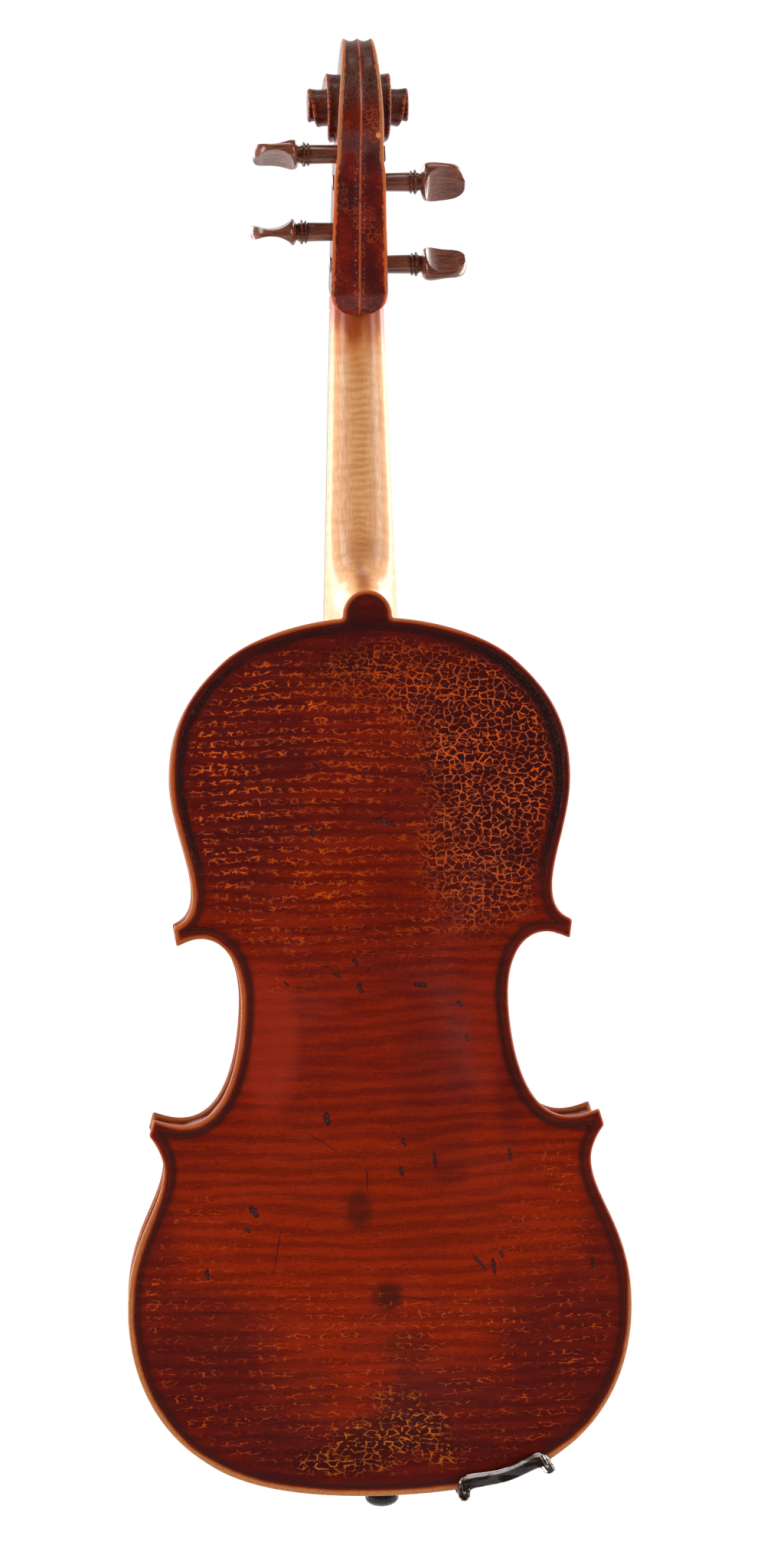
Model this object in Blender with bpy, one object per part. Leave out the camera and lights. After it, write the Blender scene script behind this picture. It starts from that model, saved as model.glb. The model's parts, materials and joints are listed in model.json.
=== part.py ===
"""A viola, built from the separate pieces that its maker would join.

Sizes here are millimetres, and metres once a mesh is made. In the body's frame X runs across
the instrument towards the bass side, Y from the back towards the strings, and Z along it towards
the scroll. Its zero is the lower end of the back's edge, on the back's outer face. The neck and
the head have a sloping frame of their own: s runs up from the nut and t out towards the strings.
Everything is parented to hanging_point, the place under the scroll where a hook holds it.
"""
import math

import bmesh
import bpy
from mathutils import Vector
from mathutils.bvhtree import BVHTree

MM = 0.001
GAP = 0.3

# Body outline, half of it, from the lower end up
BODY_LENGTH = 410.0
LOWER_WIDTH = 235.6
LOWER_Z = 88.0
LOWER_TURN_X = 85.9
LOWER_TURN_Z = 20.0
LOWER_HOLLOW_X = 99.9
LOWER_HOLLOW_Z = 155.0
LOWER_CORNER_X = 106.4
LOWER_CORNER_Z = 170.5
LOWER_CORNER_WIDTH = 7.9
LOWER_CORNER_LEAN = 16.0
C_LOW_X = 90.5
C_LOW_Z = 175.0
WAIST_WIDTH = 124.8
WAIST_Z = 232.0
C_HIGH_X = 81.0
C_HIGH_Z = 261.6
UPPER_CORNER_X = 92.0
UPPER_CORNER_Z = 258.3
UPPER_CORNER_WIDTH = 8.9
UPPER_CORNER_LEAN = -8.4
UPPER_HOLLOW_X = 84.2
UPPER_HOLLOW_Z = 282.5
UPPER_WIDTH = 187.4
UPPER_Z = 335.0
UPPER_TURN_X = 67.8
UPPER_TURN_DROP = 19.9
BUTTON_WIDTH = 23.0
BUTTON_HEIGHT = 12.6

# Plates
EDGE_THICK = 4.2
EDGE_ROUND = 1.2
CHANNEL_THICK = 3.4
CHANNEL_INSET = 7.0
PLATE_THIN = 3.0
PLATE_THICK = 4.5
BACK_ARCH = 16.0
TOP_ARCH = 17.5
ARCH_MARGIN = 13.5
GLUE_RIM = 9.0

# Ribs, linings and blocks
RIB_HEIGHT = 37.5
RIB_THICK = 1.2
OVERHANG = 2.7
CORNER_SPREAD = 0.5
LINING_THICK = 2.0
LINING_HEIGHT = 7.5
LINING_END_GAP = 1.0
END_BLOCK_HALF = 27.0
END_BLOCK_DEPTH = 17.0
CORNER_BLOCK_REACH = 24.0
CORNER_BLOCK_SETBACK = 7.0
BLOCK_CHAMFER = 5.0

# Bass bar, sound post and f-holes
BASS_BAR_X = 18.0
BASS_BAR_WIDTH = 6.5
BASS_BAR_DEPTH = 12.0
BASS_BAR_END_DEPTH = 2.5
BASS_BAR_LOW_Z = 64.0
BASS_BAR_HIGH_Z = 328.0
POST_X = -20.0
POST_DIAMETER = 6.5
POST_DROP = 17.0
F_UPPER_EYE = 7.6
F_LOWER_EYE = 10.6
F_STEM_WIDTH = 7.0
F_WING_WIDTH = 4.4
F_TIP_WIDTH = 2.4
F_MIDDLE_X = 42.6

# Neck, fingerboard and nut
NECK_LENGTH = 149.0
NECK_SLOPE = math.radians(6.4)
OVERSTAND = 8.5
NECK_THICK_NUT = 12.6
NECK_THICK_HEEL = 15.0
ROOT_DEPTH = 7.0
BOARD_LENGTH = 310.0
BOARD_NUT_WIDTH = 25.5
BOARD_END_WIDTH = 46.0
BOARD_EDGE = 5.5
BOARD_RADIUS = 42.0
BOARD_HOLLOW = 2.6
BOARD_HOLLOW_RUN = 14.0
NUT_LENGTH = 6.0
NUT_RISE = 0.3

# Head
PEGBOX_LOW_WIDTH = 27.0
PEGBOX_HIGH_WIDTH = 22.8
CHEEK = 5.2
FLOOR = 5.5
EYE_S = 94.3
EYE_T = -27.0
FLUTE = 1.3
CHAMFER = 0.9
CAVITY_END = 77.0
CAVITY_HEADROOM = 18.0

# Pegs
PEG_WALL_DIAMETER = 8.5
PEG_TAPER = 1.0 / 30.0
PEG_COLLAR_DIAMETER = 11.6
PEG_COLLAR_REACH = 11.6
PEG_COLLAR_LENGTH = 5.2
PEG_NECK_DIAMETER = 7.8
PEG_REACH = 38.0
PEG_HEAD_WIDTH = 21.0
PEG_LIP_THICKNESS = 12.4
PEG_TAIL = 0.8
PEG_SIDES = 16
WINDING_TURNS = 3
WINDING_GAP = 0.5
TURN_POINTS = 22

# Strings, bridge, tailpiece and saddle
BRIDGE_Z = 188.0
STRING_RISE = 4.2
BRIDGE_FOOT_SPAN = 50.4
BRIDGE_FOOT_THICK = 5.2
BRIDGE_TOP_THICK = 1.8
BRIDGE_RADIUS = 42.0
BRIDGE_LEAN = 0.02
BRIDGE_SPREAD = 37.0
NUT_SPREAD = 17.0
TAIL_SPREAD = 28.0
STRING_DIAMETERS = {"c": 1.1, "g": 0.95, "d": 0.8, "a": 0.7}
TAILPIECE_LENGTH = 112.0
TAILPIECE_LOW_WIDTH = 20.0
TAILPIECE_HIGH_WIDTH = 45.0
TAILPIECE_THICK = 4.5
TAILPIECE_CROWN = 4.0
TAIL_HOLE = 0.86
TAIL_HOLE_DIAMETER = 3.6
FRET = 0.957
FRET_RISE = 1.3
AFTERLENGTH = 62.0
SADDLE_HALF = 18.0
SADDLE_DEPTH = 7.0
SADDLE_RISE = 4.0
TAILGUT_DIAMETER = 1.7

# End button
BUTTON_DIAMETER = 15.9
BUTTON_NECK_DIAMETER = 11.0
BUTTON_REACH = 11.6
BUTTON_STEM_DIAMETER = 8.2
BUTTON_STEM_LENGTH = 16.0

# Chin rest and its clamp
CHIN_X = 57.0
CHIN_Z = 36.0
CHIN_LENGTH = 84.0
CHIN_BREADTH = 54.0
CHIN_TURN = math.radians(28.0)
CHIN_RISE = 21.0
CHIN_DISH = 6.5
CORK_THICK = 3.2
BAND_THICK = 2.8
BAND_WIDTH = 9.4
BAND_WAIST = 0.76
BAND_STEPS = 6
BAND_INSET = 1.2
BAND_MARGIN = 4.0
LINER_THICK = 1.2
LEG_X = (36.8, 75.5)
CLAMP_REACH = 2.2
ROD_DIAMETER = 2.6
ROD_BEND = 2.4
ROD_GRIP = 7.0
BARREL_DIAMETER = 6.4
BARREL_LENGTH = 24.0
BARREL_BORE = 3.4
KEY_HOLE_DIAMETER = 1.8

# Where it hangs: under the volutes, on the centre line
HANG_S = 77.0

ROOT_BUTTON_HALF = BUTTON_WIDTH / 2 - GAP
GLUE_BACK = EDGE_THICK
GLUE_TOP = EDGE_THICK + RIB_HEIGHT + 2 * GAP
TOP_EDGE = GLUE_TOP + EDGE_THICK
NUT_Y = TOP_EDGE + OVERSTAND - NECK_LENGTH * math.sin(NECK_SLOPE)
NUT_Z = BODY_LENGTH + NECK_LENGTH * math.cos(NECK_SLOPE)
STRINGS = ("c", "g", "d", "a")


# Small geometry

def mix(a, b, u):
    return a + (b - a) * u


def smooth(u):
    u = min(max(u, 0.0), 1.0)
    return u * u * (3 - 2 * u)


def bezier(p0, p1, p2, p3, steps):
    """Points along a cubic, its last one left out."""
    points = []
    for i in range(steps):
        u = i / steps
        weights = ((1 - u) ** 3, 3 * u * (1 - u) ** 2, 3 * u * u * (1 - u), u ** 3)
        points.append(tuple(sum(w * p[k] for w, p in zip(weights, (p0, p1, p2, p3)))
                            for k in range(len(p0))))
    return points


def spline(keys, steps):
    """A smooth curve through the keys, with the given steps between each two."""
    points = []
    for i in range(len(keys) - 1):
        a = keys[max(i - 1, 0)]
        b = keys[i]
        c = keys[i + 1]
        d = keys[min(i + 2, len(keys) - 1)]
        h0 = tuple(b[k] + (c[k] - a[k]) / 6 for k in range(len(b)))
        h1 = tuple(c[k] - (d[k] - b[k]) / 6 for k in range(len(b)))
        points += bezier(b, h0, h1, c, steps)
    return points + [keys[-1]]


def at(keys, u):
    """The value at u of a smooth curve through (place, value) keys."""
    curve = spline(keys, 12)
    if u <= curve[0][0]:
        return curve[0][1]
    for (u0, v0), (u1, v1) in zip(curve, curve[1:]):
        if u <= u1:
            return mix(v0, v1, (u - u0) / (u1 - u0))
    return curve[-1][1]


def lengths(path):
    """The distance along a path to each of its points."""
    total = [0.0]
    for a, b in zip(path, path[1:]):
        total.append(total[-1] + math.dist(a, b))
    return total


def cut_path(path, start, end):
    """The stretch of a path between two distances from its first point."""
    total = lengths(path)
    points = [along(path, total, start)]
    points += [p for p, d in zip(path, total) if start + 0.2 < d < end - 0.2]
    return points + [along(path, total, end)]


def along(path, total, distance):
    distance = min(max(distance, 0.0), total[-1])
    for i in range(len(path) - 1):
        if distance <= total[i + 1]:
            u = (distance - total[i]) / (total[i + 1] - total[i])
            return tuple(mix(a, b, u) for a, b in zip(path[i], path[i + 1]))
    return path[-1]


def normals(path):
    """Unit normals of an (x, z) path, to its left as it runs."""
    result = []
    for i in range(len(path)):
        a = path[max(i - 1, 0)]
        b = path[min(i + 1, len(path) - 1)]
        length = math.dist(a, b)
        result.append(((a[1] - b[1]) / length, (b[0] - a[0]) / length))
    return result


def offset_path(path, distance):
    """A path moved to its left, by one distance or by a function of each point's number."""
    shift = distance if callable(distance) else lambda i: distance
    return [(p[0] + n[0] * shift(i), p[1] + n[1] * shift(i))
            for i, (p, n) in enumerate(zip(path, normals(path)))]


def mirrored(path):
    return [(-p[0],) + tuple(p[1:]) for p in reversed(path)]


# The body's outline

def corner(x, z, width, lean):
    """The two tips of a corner's end face, the lower one first."""
    angle = math.radians(lean)
    return (x, z), (x - width * math.sin(angle), z + width * math.cos(angle))


LOWER_CORNER = corner(LOWER_CORNER_X, LOWER_CORNER_Z, LOWER_CORNER_WIDTH, LOWER_CORNER_LEAN)
UPPER_CORNER = corner(UPPER_CORNER_X, UPPER_CORNER_Z, UPPER_CORNER_WIDTH, UPPER_CORNER_LEAN)


def lower_bout():
    """From the centre at the lower end to the lower corner."""
    widest = (LOWER_WIDTH / 2, LOWER_Z)
    turn = (LOWER_TURN_X, LOWER_TURN_Z)
    hollow = (LOWER_HOLLOW_X, LOWER_HOLLOW_Z)
    tip = LOWER_CORNER[0]
    path = bezier((0, 0), (60, 0), (turn[0] - 8.6, turn[1] - 6.2), turn, 5)
    path += bezier(turn, (turn[0] + 18.2, turn[1] + 13.2), (widest[0], widest[1] - 31.5), widest, 5)
    path += bezier(widest, (widest[0], widest[1] + 34.7), (hollow[0], hollow[1] - 18), hollow, 4)
    path += bezier(hollow, (hollow[0], hollow[1] + 1.7), (tip[0] - 6, tip[1] - 7.6), tip, 2)
    return path + [tip]


def waist():
    """From the lower corner through the C-bout to the upper corner."""
    tip = LOWER_CORNER[1]
    low = (C_LOW_X, C_LOW_Z)
    middle = (WAIST_WIDTH / 2, WAIST_Z)
    high = (C_HIGH_X, C_HIGH_Z)
    end = UPPER_CORNER[0]
    path = bezier(tip, (tip[0] - 4, tip[1] - 1.5), (low[0] + 5, low[1]), low, 2)
    path += bezier(low, (low[0] - 25.4, low[1]), (middle[0], middle[1] - 11.4), middle, 6)
    path += bezier(middle, (middle[0], middle[1] + 17), (high[0] - 12, high[1]), high, 4)
    path += bezier(high, (high[0] + 4, high[1]), (end[0] - 3.5, end[1] + 1.3), end, 2)
    return path + [end]


def upper_bout():
    """From the upper corner to the centre at the upper end."""
    tip = UPPER_CORNER[1]
    hollow = (UPPER_HOLLOW_X, UPPER_HOLLOW_Z)
    widest = (UPPER_WIDTH / 2, UPPER_Z)
    turn = (UPPER_TURN_X, BODY_LENGTH - UPPER_TURN_DROP)
    path = bezier(tip, (tip[0] - 5, tip[1] + 2), (hollow[0], hollow[1] - 10), hollow, 3)
    path += bezier(hollow, (hollow[0], hollow[1] + 13.9), (widest[0], widest[1] - 19.2), widest, 3)
    path += bezier(widest, (widest[0], widest[1] + 25.6), (turn[0] + 16.4, turn[1] - 14.5), turn, 4)
    path += bezier(turn, (turn[0] - 10.6, turn[1] + 9.3), (32.5, BODY_LENGTH), (0, BODY_LENGTH), 4)
    return path + [(0, BODY_LENGTH)]


def arch_line():
    """Where the arching starts: a smooth line inside the outline that passes by its corners."""
    m = ARCH_MARGIN
    keys = [(0, m), (LOWER_TURN_X - m * 0.62, LOWER_TURN_Z + m * 0.85),
            (LOWER_WIDTH / 2 - m, LOWER_Z), (LOWER_HOLLOW_X - m * 1.3, LOWER_HOLLOW_Z - m),
            (WAIST_WIDTH / 2 - m * 0.75, WAIST_Z), (UPPER_HOLLOW_X - m * 1.1, UPPER_HOLLOW_Z + m * 0.2),
            (UPPER_WIDTH / 2 - m, UPPER_Z), (UPPER_TURN_X - m * 0.6, BODY_LENGTH - UPPER_TURN_DROP - m),
            (0, BODY_LENGTH - m)]
    return spline([(-keys[1][0], keys[1][1])] + keys + [(-keys[-2][0], keys[-2][1])], 8)[8:-8]


ARCH_LINE = arch_line()
ARCH_LENGTHS = lengths(ARCH_LINE)


def arch_half(z):
    """Half the arched width at height z."""
    for a, b in zip(ARCH_LINE, ARCH_LINE[1:]):
        if a[1] <= z <= b[1] and b[1] > a[1]:
            return max(mix(a[0], b[0], (z - a[1]) / (b[1] - a[1])), 0.01)
    return 0.01


def swell(x, z):
    """The arching's share of its full height: 1 in the middle, 0 at the arch line."""
    half_length = (BODY_LENGTH - 2 * ARCH_MARGIN) / 2
    v = abs(z - BODY_LENGTH / 2) / half_length
    u = abs(x) / arch_half(z)
    if u >= 1 or v >= 1:
        return 0.0
    return (1 - v ** 3.5) ** 2 * (1 - u ** 2.3) ** 2


def plate_outer(x, z, arch):
    return CHANNEL_THICK + (arch - CHANNEL_THICK) * swell(x, z)


def plate_inner(x, z, arch):
    share = swell(x, z)
    return CHANNEL_THICK + (arch - CHANNEL_THICK) * share - mix(PLATE_THIN, PLATE_THICK, share ** 0.5)


# Making objects

def clear_scene():
    for thing in list(bpy.data.objects):
        bpy.data.objects.remove(thing, do_unlink=True)


def material(name, colour, roughness, metallic=0.0):
    made = bpy.data.materials.new(name)
    made.use_nodes = True
    shader = made.node_tree.nodes["Principled BSDF"]
    shader.inputs["Base Color"].default_value = (*colour, 1.0)
    shader.inputs["Roughness"].default_value = roughness
    shader.inputs["Metallic"].default_value = metallic
    return made


FINISHES = {
    "varnish": ((0.24, 0.03, 0.012), 0.28, 0.0),
    "spruce": ((0.42, 0.14, 0.05), 0.32, 0.0),
    "maple": ((0.62, 0.38, 0.19), 0.5, 0.0),
    "pale_wood": ((0.72, 0.56, 0.36), 0.6, 0.0),
    "ebony": ((0.018, 0.014, 0.012), 0.3, 0.0),
    "rosewood": ((0.16, 0.06, 0.03), 0.35, 0.0),
    "bridge_maple": ((0.66, 0.45, 0.24), 0.5, 0.0),
    "steel": ((0.75, 0.75, 0.76), 0.2, 1.0),
    "cork": ((0.5, 0.33, 0.18), 0.85, 0.0),
    "winding": ((0.7, 0.7, 0.72), 0.3, 1.0),
    "gut": ((0.03, 0.03, 0.03), 0.4, 0.0),
}


def finish_of(thing, finish):
    colour, roughness, metallic = FINISHES[finish]
    thing.data.materials.append(material(thing.name, colour, roughness, metallic))


def at_empty(name, place, parent=None):
    """An empty that pieces hang on."""
    empty = bpy.data.objects.new(name, None)
    bpy.context.scene.collection.objects.link(empty)
    empty.location = [c * MM for c in place]
    empty.parent = parent
    return empty


def place_object(thing, parent):
    bpy.context.scene.collection.objects.link(thing)
    thing.parent = parent


def mesh_data(name, points, faces, origin=(0, 0, 0)):
    """A closed mesh, its doubled points merged and its faces turned outwards."""
    data = bpy.data.meshes.new(name)
    data.from_pydata([[(p[k] - origin[k]) * MM for k in range(3)] for p in points], [], faces)
    work = bmesh.new()
    work.from_mesh(data)
    bmesh.ops.remove_doubles(work, verts=work.verts, dist=0.000002)
    bmesh.ops.dissolve_degenerate(work, edges=work.edges, dist=0.000002)
    bmesh.ops.recalc_face_normals(work, faces=work.faces)
    work.to_mesh(data)
    work.free()
    data.shade_smooth()
    data.set_sharp_from_angle(angle=math.radians(35))
    return data


def piece(name, shape, finish, parent, origin=(0, 0, 0)):
    """A node: its shape is (points, faces) in the body's millimetres, and origin is its parent's place."""
    thing = bpy.data.objects.new(name, mesh_data(name, *shape, origin=origin))
    place_object(thing, parent)
    finish_of(thing, finish)
    return thing


def cutter(name, shape, parent):
    """A hidden solid that only cuts or joins."""
    thing = bpy.data.objects.new(name, mesh_data(name, *shape))
    place_object(thing, parent)
    thing.hide_render = True
    thing.display_type = "WIRE"
    return thing


def boolean(thing, other, operation="DIFFERENCE"):
    step = thing.modifiers.new(other.name, "BOOLEAN")
    step.operation = operation
    step.solver = "EXACT"
    step.object = other


def tube_piece(name, points, diameter, finish, parent, origin=(0, 0, 0), resolution=2):
    """A node that is a round wire along points, with its ends closed."""
    curve = bpy.data.curves.new(name, "CURVE")
    curve.dimensions = "3D"
    curve.bevel_depth = diameter / 2 * MM
    curve.bevel_resolution = resolution
    curve.use_fill_caps = True
    line = curve.splines.new("POLY")
    line.points.add(len(points) - 1)
    for knot, point in zip(line.points, points):
        knot.co = [(point[k] - origin[k]) * MM for k in range(3)] + [1.0]
    thing = bpy.data.objects.new(name, curve)
    place_object(thing, parent)
    finish_of(thing, finish)
    return thing


# Solids from sections

def loft(rings, closed=False):
    """A solid from rings of as many points each; closed joins the last ring to the first."""
    count = len(rings[0])
    points = [p for ring in rings for p in ring]
    faces = []
    spans = len(rings) if closed else len(rings) - 1
    for i in range(spans):
        a = i * count
        b = (i + 1) % len(rings) * count
        for k in range(count):
            j = (k + 1) % count
            faces.append((a + k, a + j, b + j, b + k))
    if not closed:
        faces.append(tuple(range(count)))
        faces.append(tuple(range(len(points) - count, len(points))))
    return points, faces


def prism(outline, low, high):
    """An (x, z) outline made solid between two heights in y."""
    return loft([[(x, low, z) for x, z in outline], [(x, high, z) for x, z in outline]])


def strip(outer, inner, low, high, inner_high=None):
    """A bent strip between two paths of as many points, with its far side tapered if asked."""
    inner_high = inner_high or inner
    rings = [[(a[0], low, a[1]), (a[0], high, a[1]), (c[0], high, c[1]), (b[0], low, b[1])]
             for a, b, c in zip(outer, inner, inner_high)]
    return loft(rings)


def turned(profile, centre, axis, sides, closed=False):
    """A turned solid: profile is (distance along the axis, radius), closed where it has a bore."""
    along_axis = Vector(axis).normalized()
    across = along_axis.orthogonal().normalized()
    other = along_axis.cross(across)
    rings = []
    for distance, radius in profile:
        middle = Vector(centre) + along_axis * distance
        ring = []
        for k in range(sides):
            angle = 2 * math.pi * (k + 0.5) / sides
            ring.append(tuple(middle + (across * math.cos(angle) + other * math.sin(angle)) * radius))
        rings.append(ring)
    return loft(rings, closed)


# Plates

def plate_rings(path, arch):
    """The rings of a plate, each a list of (x, z, height over the glue face)."""
    inward = offset_path(path + path[:2], EDGE_ROUND)[1:-1]
    inward = [inward[-1]] + inward[:-1]
    targets = arch_targets(path)

    def toward(distance):
        ring = []
        for p, q in zip(path, targets):
            share = min(distance / math.dist(p, q), 0.9)
            ring.append((mix(p[0], q[0], share), mix(p[1], q[1], share)))
        return ring

    def ring_at(points, height):
        return [(x, z, height) for x, z in points]

    def arched(share, surface):
        ring = []
        for q in targets:
            spine = min(max(q[1], LOWER_Z * 0.8), mix(UPPER_Z, BODY_LENGTH, 0.1))
            x = q[0] * (1 - share)
            z = mix(q[1], spine, share)
            ring.append((x, z, surface(x, z, arch)))
        return ring

    rings = [arched(1.0, plate_inner), arched(0.5, plate_inner), arched(0.0, plate_inner)]
    rings += [ring_at(toward(GLUE_RIM), 0.0), ring_at(inward, 0.0)]
    rings += [ring_at(path, EDGE_ROUND), ring_at(path, EDGE_THICK - EDGE_ROUND)]
    rings += [ring_at(inward, EDGE_THICK), ring_at(toward(CHANNEL_INSET), CHANNEL_THICK)]
    rings += [arched(share, plate_outer) for share in (0.0, 0.3, 0.65, 1.0)]
    return rings


def arch_targets(path):
    """For each point of the outline, the point of the arch line that it looks at."""
    targets = []
    for x, z in path:
        best = min(range(len(ARCH_LINE)),
                   key=lambda i: math.dist((abs(x), min(z, BODY_LENGTH)), ARCH_LINE[i]))
        targets.append((best, x))
    return [(math.copysign(ARCH_LINE[i][0], x) if ARCH_LINE[i][0] > 0.1 else 0.0, ARCH_LINE[i][1])
            for i, x in targets]


def plate_shape(path, glue, side, arch):
    """A plate in triangles; its outer face looks along side, -1 for the back and 1 for the top."""
    rings = [[(x, glue + side * height, z) for x, z, height in ring]
             for ring in plate_rings(path, arch)]
    points, faces = loft(rings)
    triangles = []
    for a, b, c, d in faces[:-2]:
        triangles += [(a, b, c), (a, c, d)]
    return points, triangles


def whole_outline(with_button):
    """The closed outline, anticlockwise seen from the front side."""
    half = lower_bout() + waist() + upper_bout()
    if with_button:
        half = [p for p in half if p[1] < BODY_LENGTH - 1 or p[0] > BUTTON_WIDTH / 2 + 1.5]
        half += button_half()
    return half[:-1] + mirrored(half)[:-1]


def button_half():
    """The right half of the button's outline, from the body's edge to its tip."""
    radius = BUTTON_WIDTH / 2
    centre = BODY_LENGTH + BUTTON_HEIGHT - radius
    points = [(radius, BODY_LENGTH - 0.2)]
    for k in range(6):
        angle = math.pi / 2 * k / 5
        points.append((radius * math.cos(angle), centre + radius * math.sin(angle)))
    return points


F_MIDDLE = [(-15.6, 38.0, F_TIP_WIDTH), (-11.6, 43.5, F_TIP_WIDTH), (-6.1, 40.5, F_WING_WIDTH),
            (-3.4, 28.0, F_STEM_WIDTH), (-1.4, 12.0, F_STEM_WIDTH), (1.0, -5.0, F_STEM_WIDTH),
            (3.0, -21.0, F_STEM_WIDTH), (6.0, -33.0, F_WING_WIDTH), (10.8, -36.8, F_TIP_WIDTH),
            (15.4, -31.0, F_TIP_WIDTH)]
F_EYES = [(-16.4, 35.0, F_UPPER_EYE), (16.0, -27.8, F_LOWER_EYE)]


def f_hole_parts(side):
    """The three cutters of an f-hole, placed from the bridge: its curved stem and its two round eyes."""
    middle = [(F_MIDDLE_X + x, BRIDGE_Z + z, width) for x, z, width in F_MIDDLE]
    path = spline(middle, 2)
    flat = [(p[0] * side, p[1]) for p in path]
    edges = [offset_path(flat, lambda i, k=k: path[i][2] / 2 * k) for k in (1, -1)]
    low = GLUE_TOP - 8
    high = GLUE_TOP + TOP_ARCH + 8
    stem = prism(edges[0] + list(reversed(edges[1])), low, high)
    eyes = []
    for x, z, size in F_EYES:
        centre = ((F_MIDDLE_X + x) * side, 0, BRIDGE_Z + z)
        eyes.append(turned([(low, size / 2), (high, size / 2)], centre, (0, 1, 0), 16))
    return [stem] + eyes


BACK_SHAPE = plate_shape(whole_outline(True), GLUE_BACK, -1, BACK_ARCH)
TOP_SHAPE = plate_shape(whole_outline(False), GLUE_TOP, 1, TOP_ARCH)
BACK_TREE = BVHTree.FromPolygons(*BACK_SHAPE)
TOP_TREE = BVHTree.FromPolygons(*TOP_SHAPE)


def back_inside(x, z):
    """The back's inner face, as it is faceted, under a point of the body."""
    return BACK_TREE.ray_cast((x, GLUE_BACK + RIB_HEIGHT / 2, z), (0, -1, 0))[0][1]


def top_inside(x, z):
    return TOP_TREE.ray_cast((x, GLUE_BACK + RIB_HEIGHT / 2, z), (0, 1, 0))[0][1]


def top_outside(x, z):
    return TOP_TREE.ray_cast((x, TOP_EDGE + 100, z), (0, -1, 0))[0][1]


def make_plates(parent, notches):
    piece("back_plate", BACK_SHAPE, "varnish", parent)
    top = piece("top_plate", TOP_SHAPE, "spruce", parent)
    for name, side in (("bass", 1), ("treble", -1)):
        for number, shape in enumerate(f_hole_parts(side)):
            boolean(top, cutter(f"f_hole_{name}_{number}", shape, parent))
    for notch in notches:
        boolean(top, notch)


# Ribs, linings and blocks

def pinch(width):
    """How much further in the ribs run at a corner, so that the two meet there."""
    return (width + CORNER_SPREAD - 2 * RIB_THICK - GAP) / 2 - OVERHANG


def rib_line(path, extra, start_width, end_width):
    """The path of a rib's outer face plus extra, drawn in at the corners that it reaches."""
    total = lengths(path)

    def shift(i):
        inset = OVERHANG + extra
        if start_width:
            inset += pinch(start_width) * smooth(1 - total[i] / 14)
        if end_width:
            inset += pinch(end_width) * smooth(1 - (total[-1] - total[i]) / 14)
        return inset

    moved = offset_path(path, shift)
    reach = lengths(moved)[-1]
    return cut_path(moved, OVERHANG if start_width else 0.0, reach - (OVERHANG if end_width else 0.0))


BOUTS = {
    "lower": (lower_bout, None, LOWER_CORNER_WIDTH),
    "waist": (waist, LOWER_CORNER_WIDTH, UPPER_CORNER_WIDTH),
    "upper": (upper_bout, UPPER_CORNER_WIDTH, None),
}


def bout_line(bout, extra):
    path, start_width, end_width = BOUTS[bout]
    return rib_line(path(), extra, start_width, end_width)


def same_side(path, side):
    return path if side > 0 else [(-x, z) for x, z in path]


def off_centre(path):
    """The same path kept half a gap clear of the centre line."""
    return [(max(x, GAP / 2), z) for x, z in path]


def make_ribs(parent, root_cutter, stem_cutter):
    for bout in BOUTS:
        for name, side in (("bass", 1), ("treble", -1)):
            outer = same_side(off_centre(bout_line(bout, 0.0)), side)
            inner = same_side(off_centre(bout_line(bout, RIB_THICK)), side)
            count = min(len(outer), len(inner))
            rib = piece(f"rib_{bout}_{name}",
                        strip(even(outer, count), even(inner, count), GLUE_BACK + GAP, GLUE_TOP - GAP),
                        "varnish", parent)
            if bout == "upper":
                boolean(rib, root_cutter)
            if bout == "lower":
                boolean(rib, stem_cutter)


def even(path, count):
    """The path again with the given number of points, spread as its own points are."""
    if len(path) == count:
        return path
    total = lengths(path)
    return [along(path, total, total[-1] * i / (count - 1)) for i in range(count)]


def lining_line(bout):
    """The line of a lining's outer face, from block to block."""
    line = bout_line(bout, RIB_THICK + GAP)
    total = lengths(line)
    start = CORNER_BLOCK_REACH + CORNER_BLOCK_SETBACK + LINING_END_GAP
    end = total[-1] - start
    if bout == "lower":
        start = end_block_edge(line, total) + LINING_END_GAP
    if bout == "upper":
        end = end_block_edge(line, total) - LINING_END_GAP
    return cut_path(line, start, end)


def end_block_edge(line, total):
    """The distance along a bout's line at which the end block's side is crossed."""
    for (a, da), (b, db) in zip(zip(line, total), zip(line[1:], total[1:])):
        if (a[0] - END_BLOCK_HALF) * (b[0] - END_BLOCK_HALF) <= 0:
            return mix(da, db, (END_BLOCK_HALF - a[0]) / (b[0] - a[0]))
    return 0.0


def make_linings(parent):
    for bout in BOUTS:
        outer = lining_line(bout)
        thick = offset_path(outer, LINING_THICK)
        thin = offset_path(outer, LINING_THICK * 0.35)
        for side_name, side in (("bass", 1), ("treble", -1)):
            paths = [same_side(path, side) for path in (outer, thick, thin)]
            low = GLUE_BACK + GAP
            high = GLUE_TOP - GAP
            piece(f"lining_back_{bout}_{side_name}",
                  strip(paths[0], paths[1], low, low + LINING_HEIGHT, paths[2]), "pale_wood", parent)
            piece(f"lining_top_{bout}_{side_name}",
                  strip(paths[0], paths[2], high - LINING_HEIGHT, high, paths[1]), "pale_wood", parent)


def end_block(bout, side):
    """Outline of an end block: it follows the ribs outside and is flat inside."""
    line = bout_line(bout, RIB_THICK + GAP)
    half = [p for p in line if p[0] < END_BLOCK_HALF - 0.5]
    total = lengths(line)
    half.append(along(line, total, end_block_edge(line, total)))
    half.sort(key=lambda p: p[0])
    flat = half[0][1] + side * END_BLOCK_DEPTH
    outline = [(x, z) for x, z in half]
    outline += [(END_BLOCK_HALF, flat - side * BLOCK_CHAMFER), (END_BLOCK_HALF - BLOCK_CHAMFER, flat)]
    return outline + [(-x, z) for x, z in reversed(outline) if x > 0.5]


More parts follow.
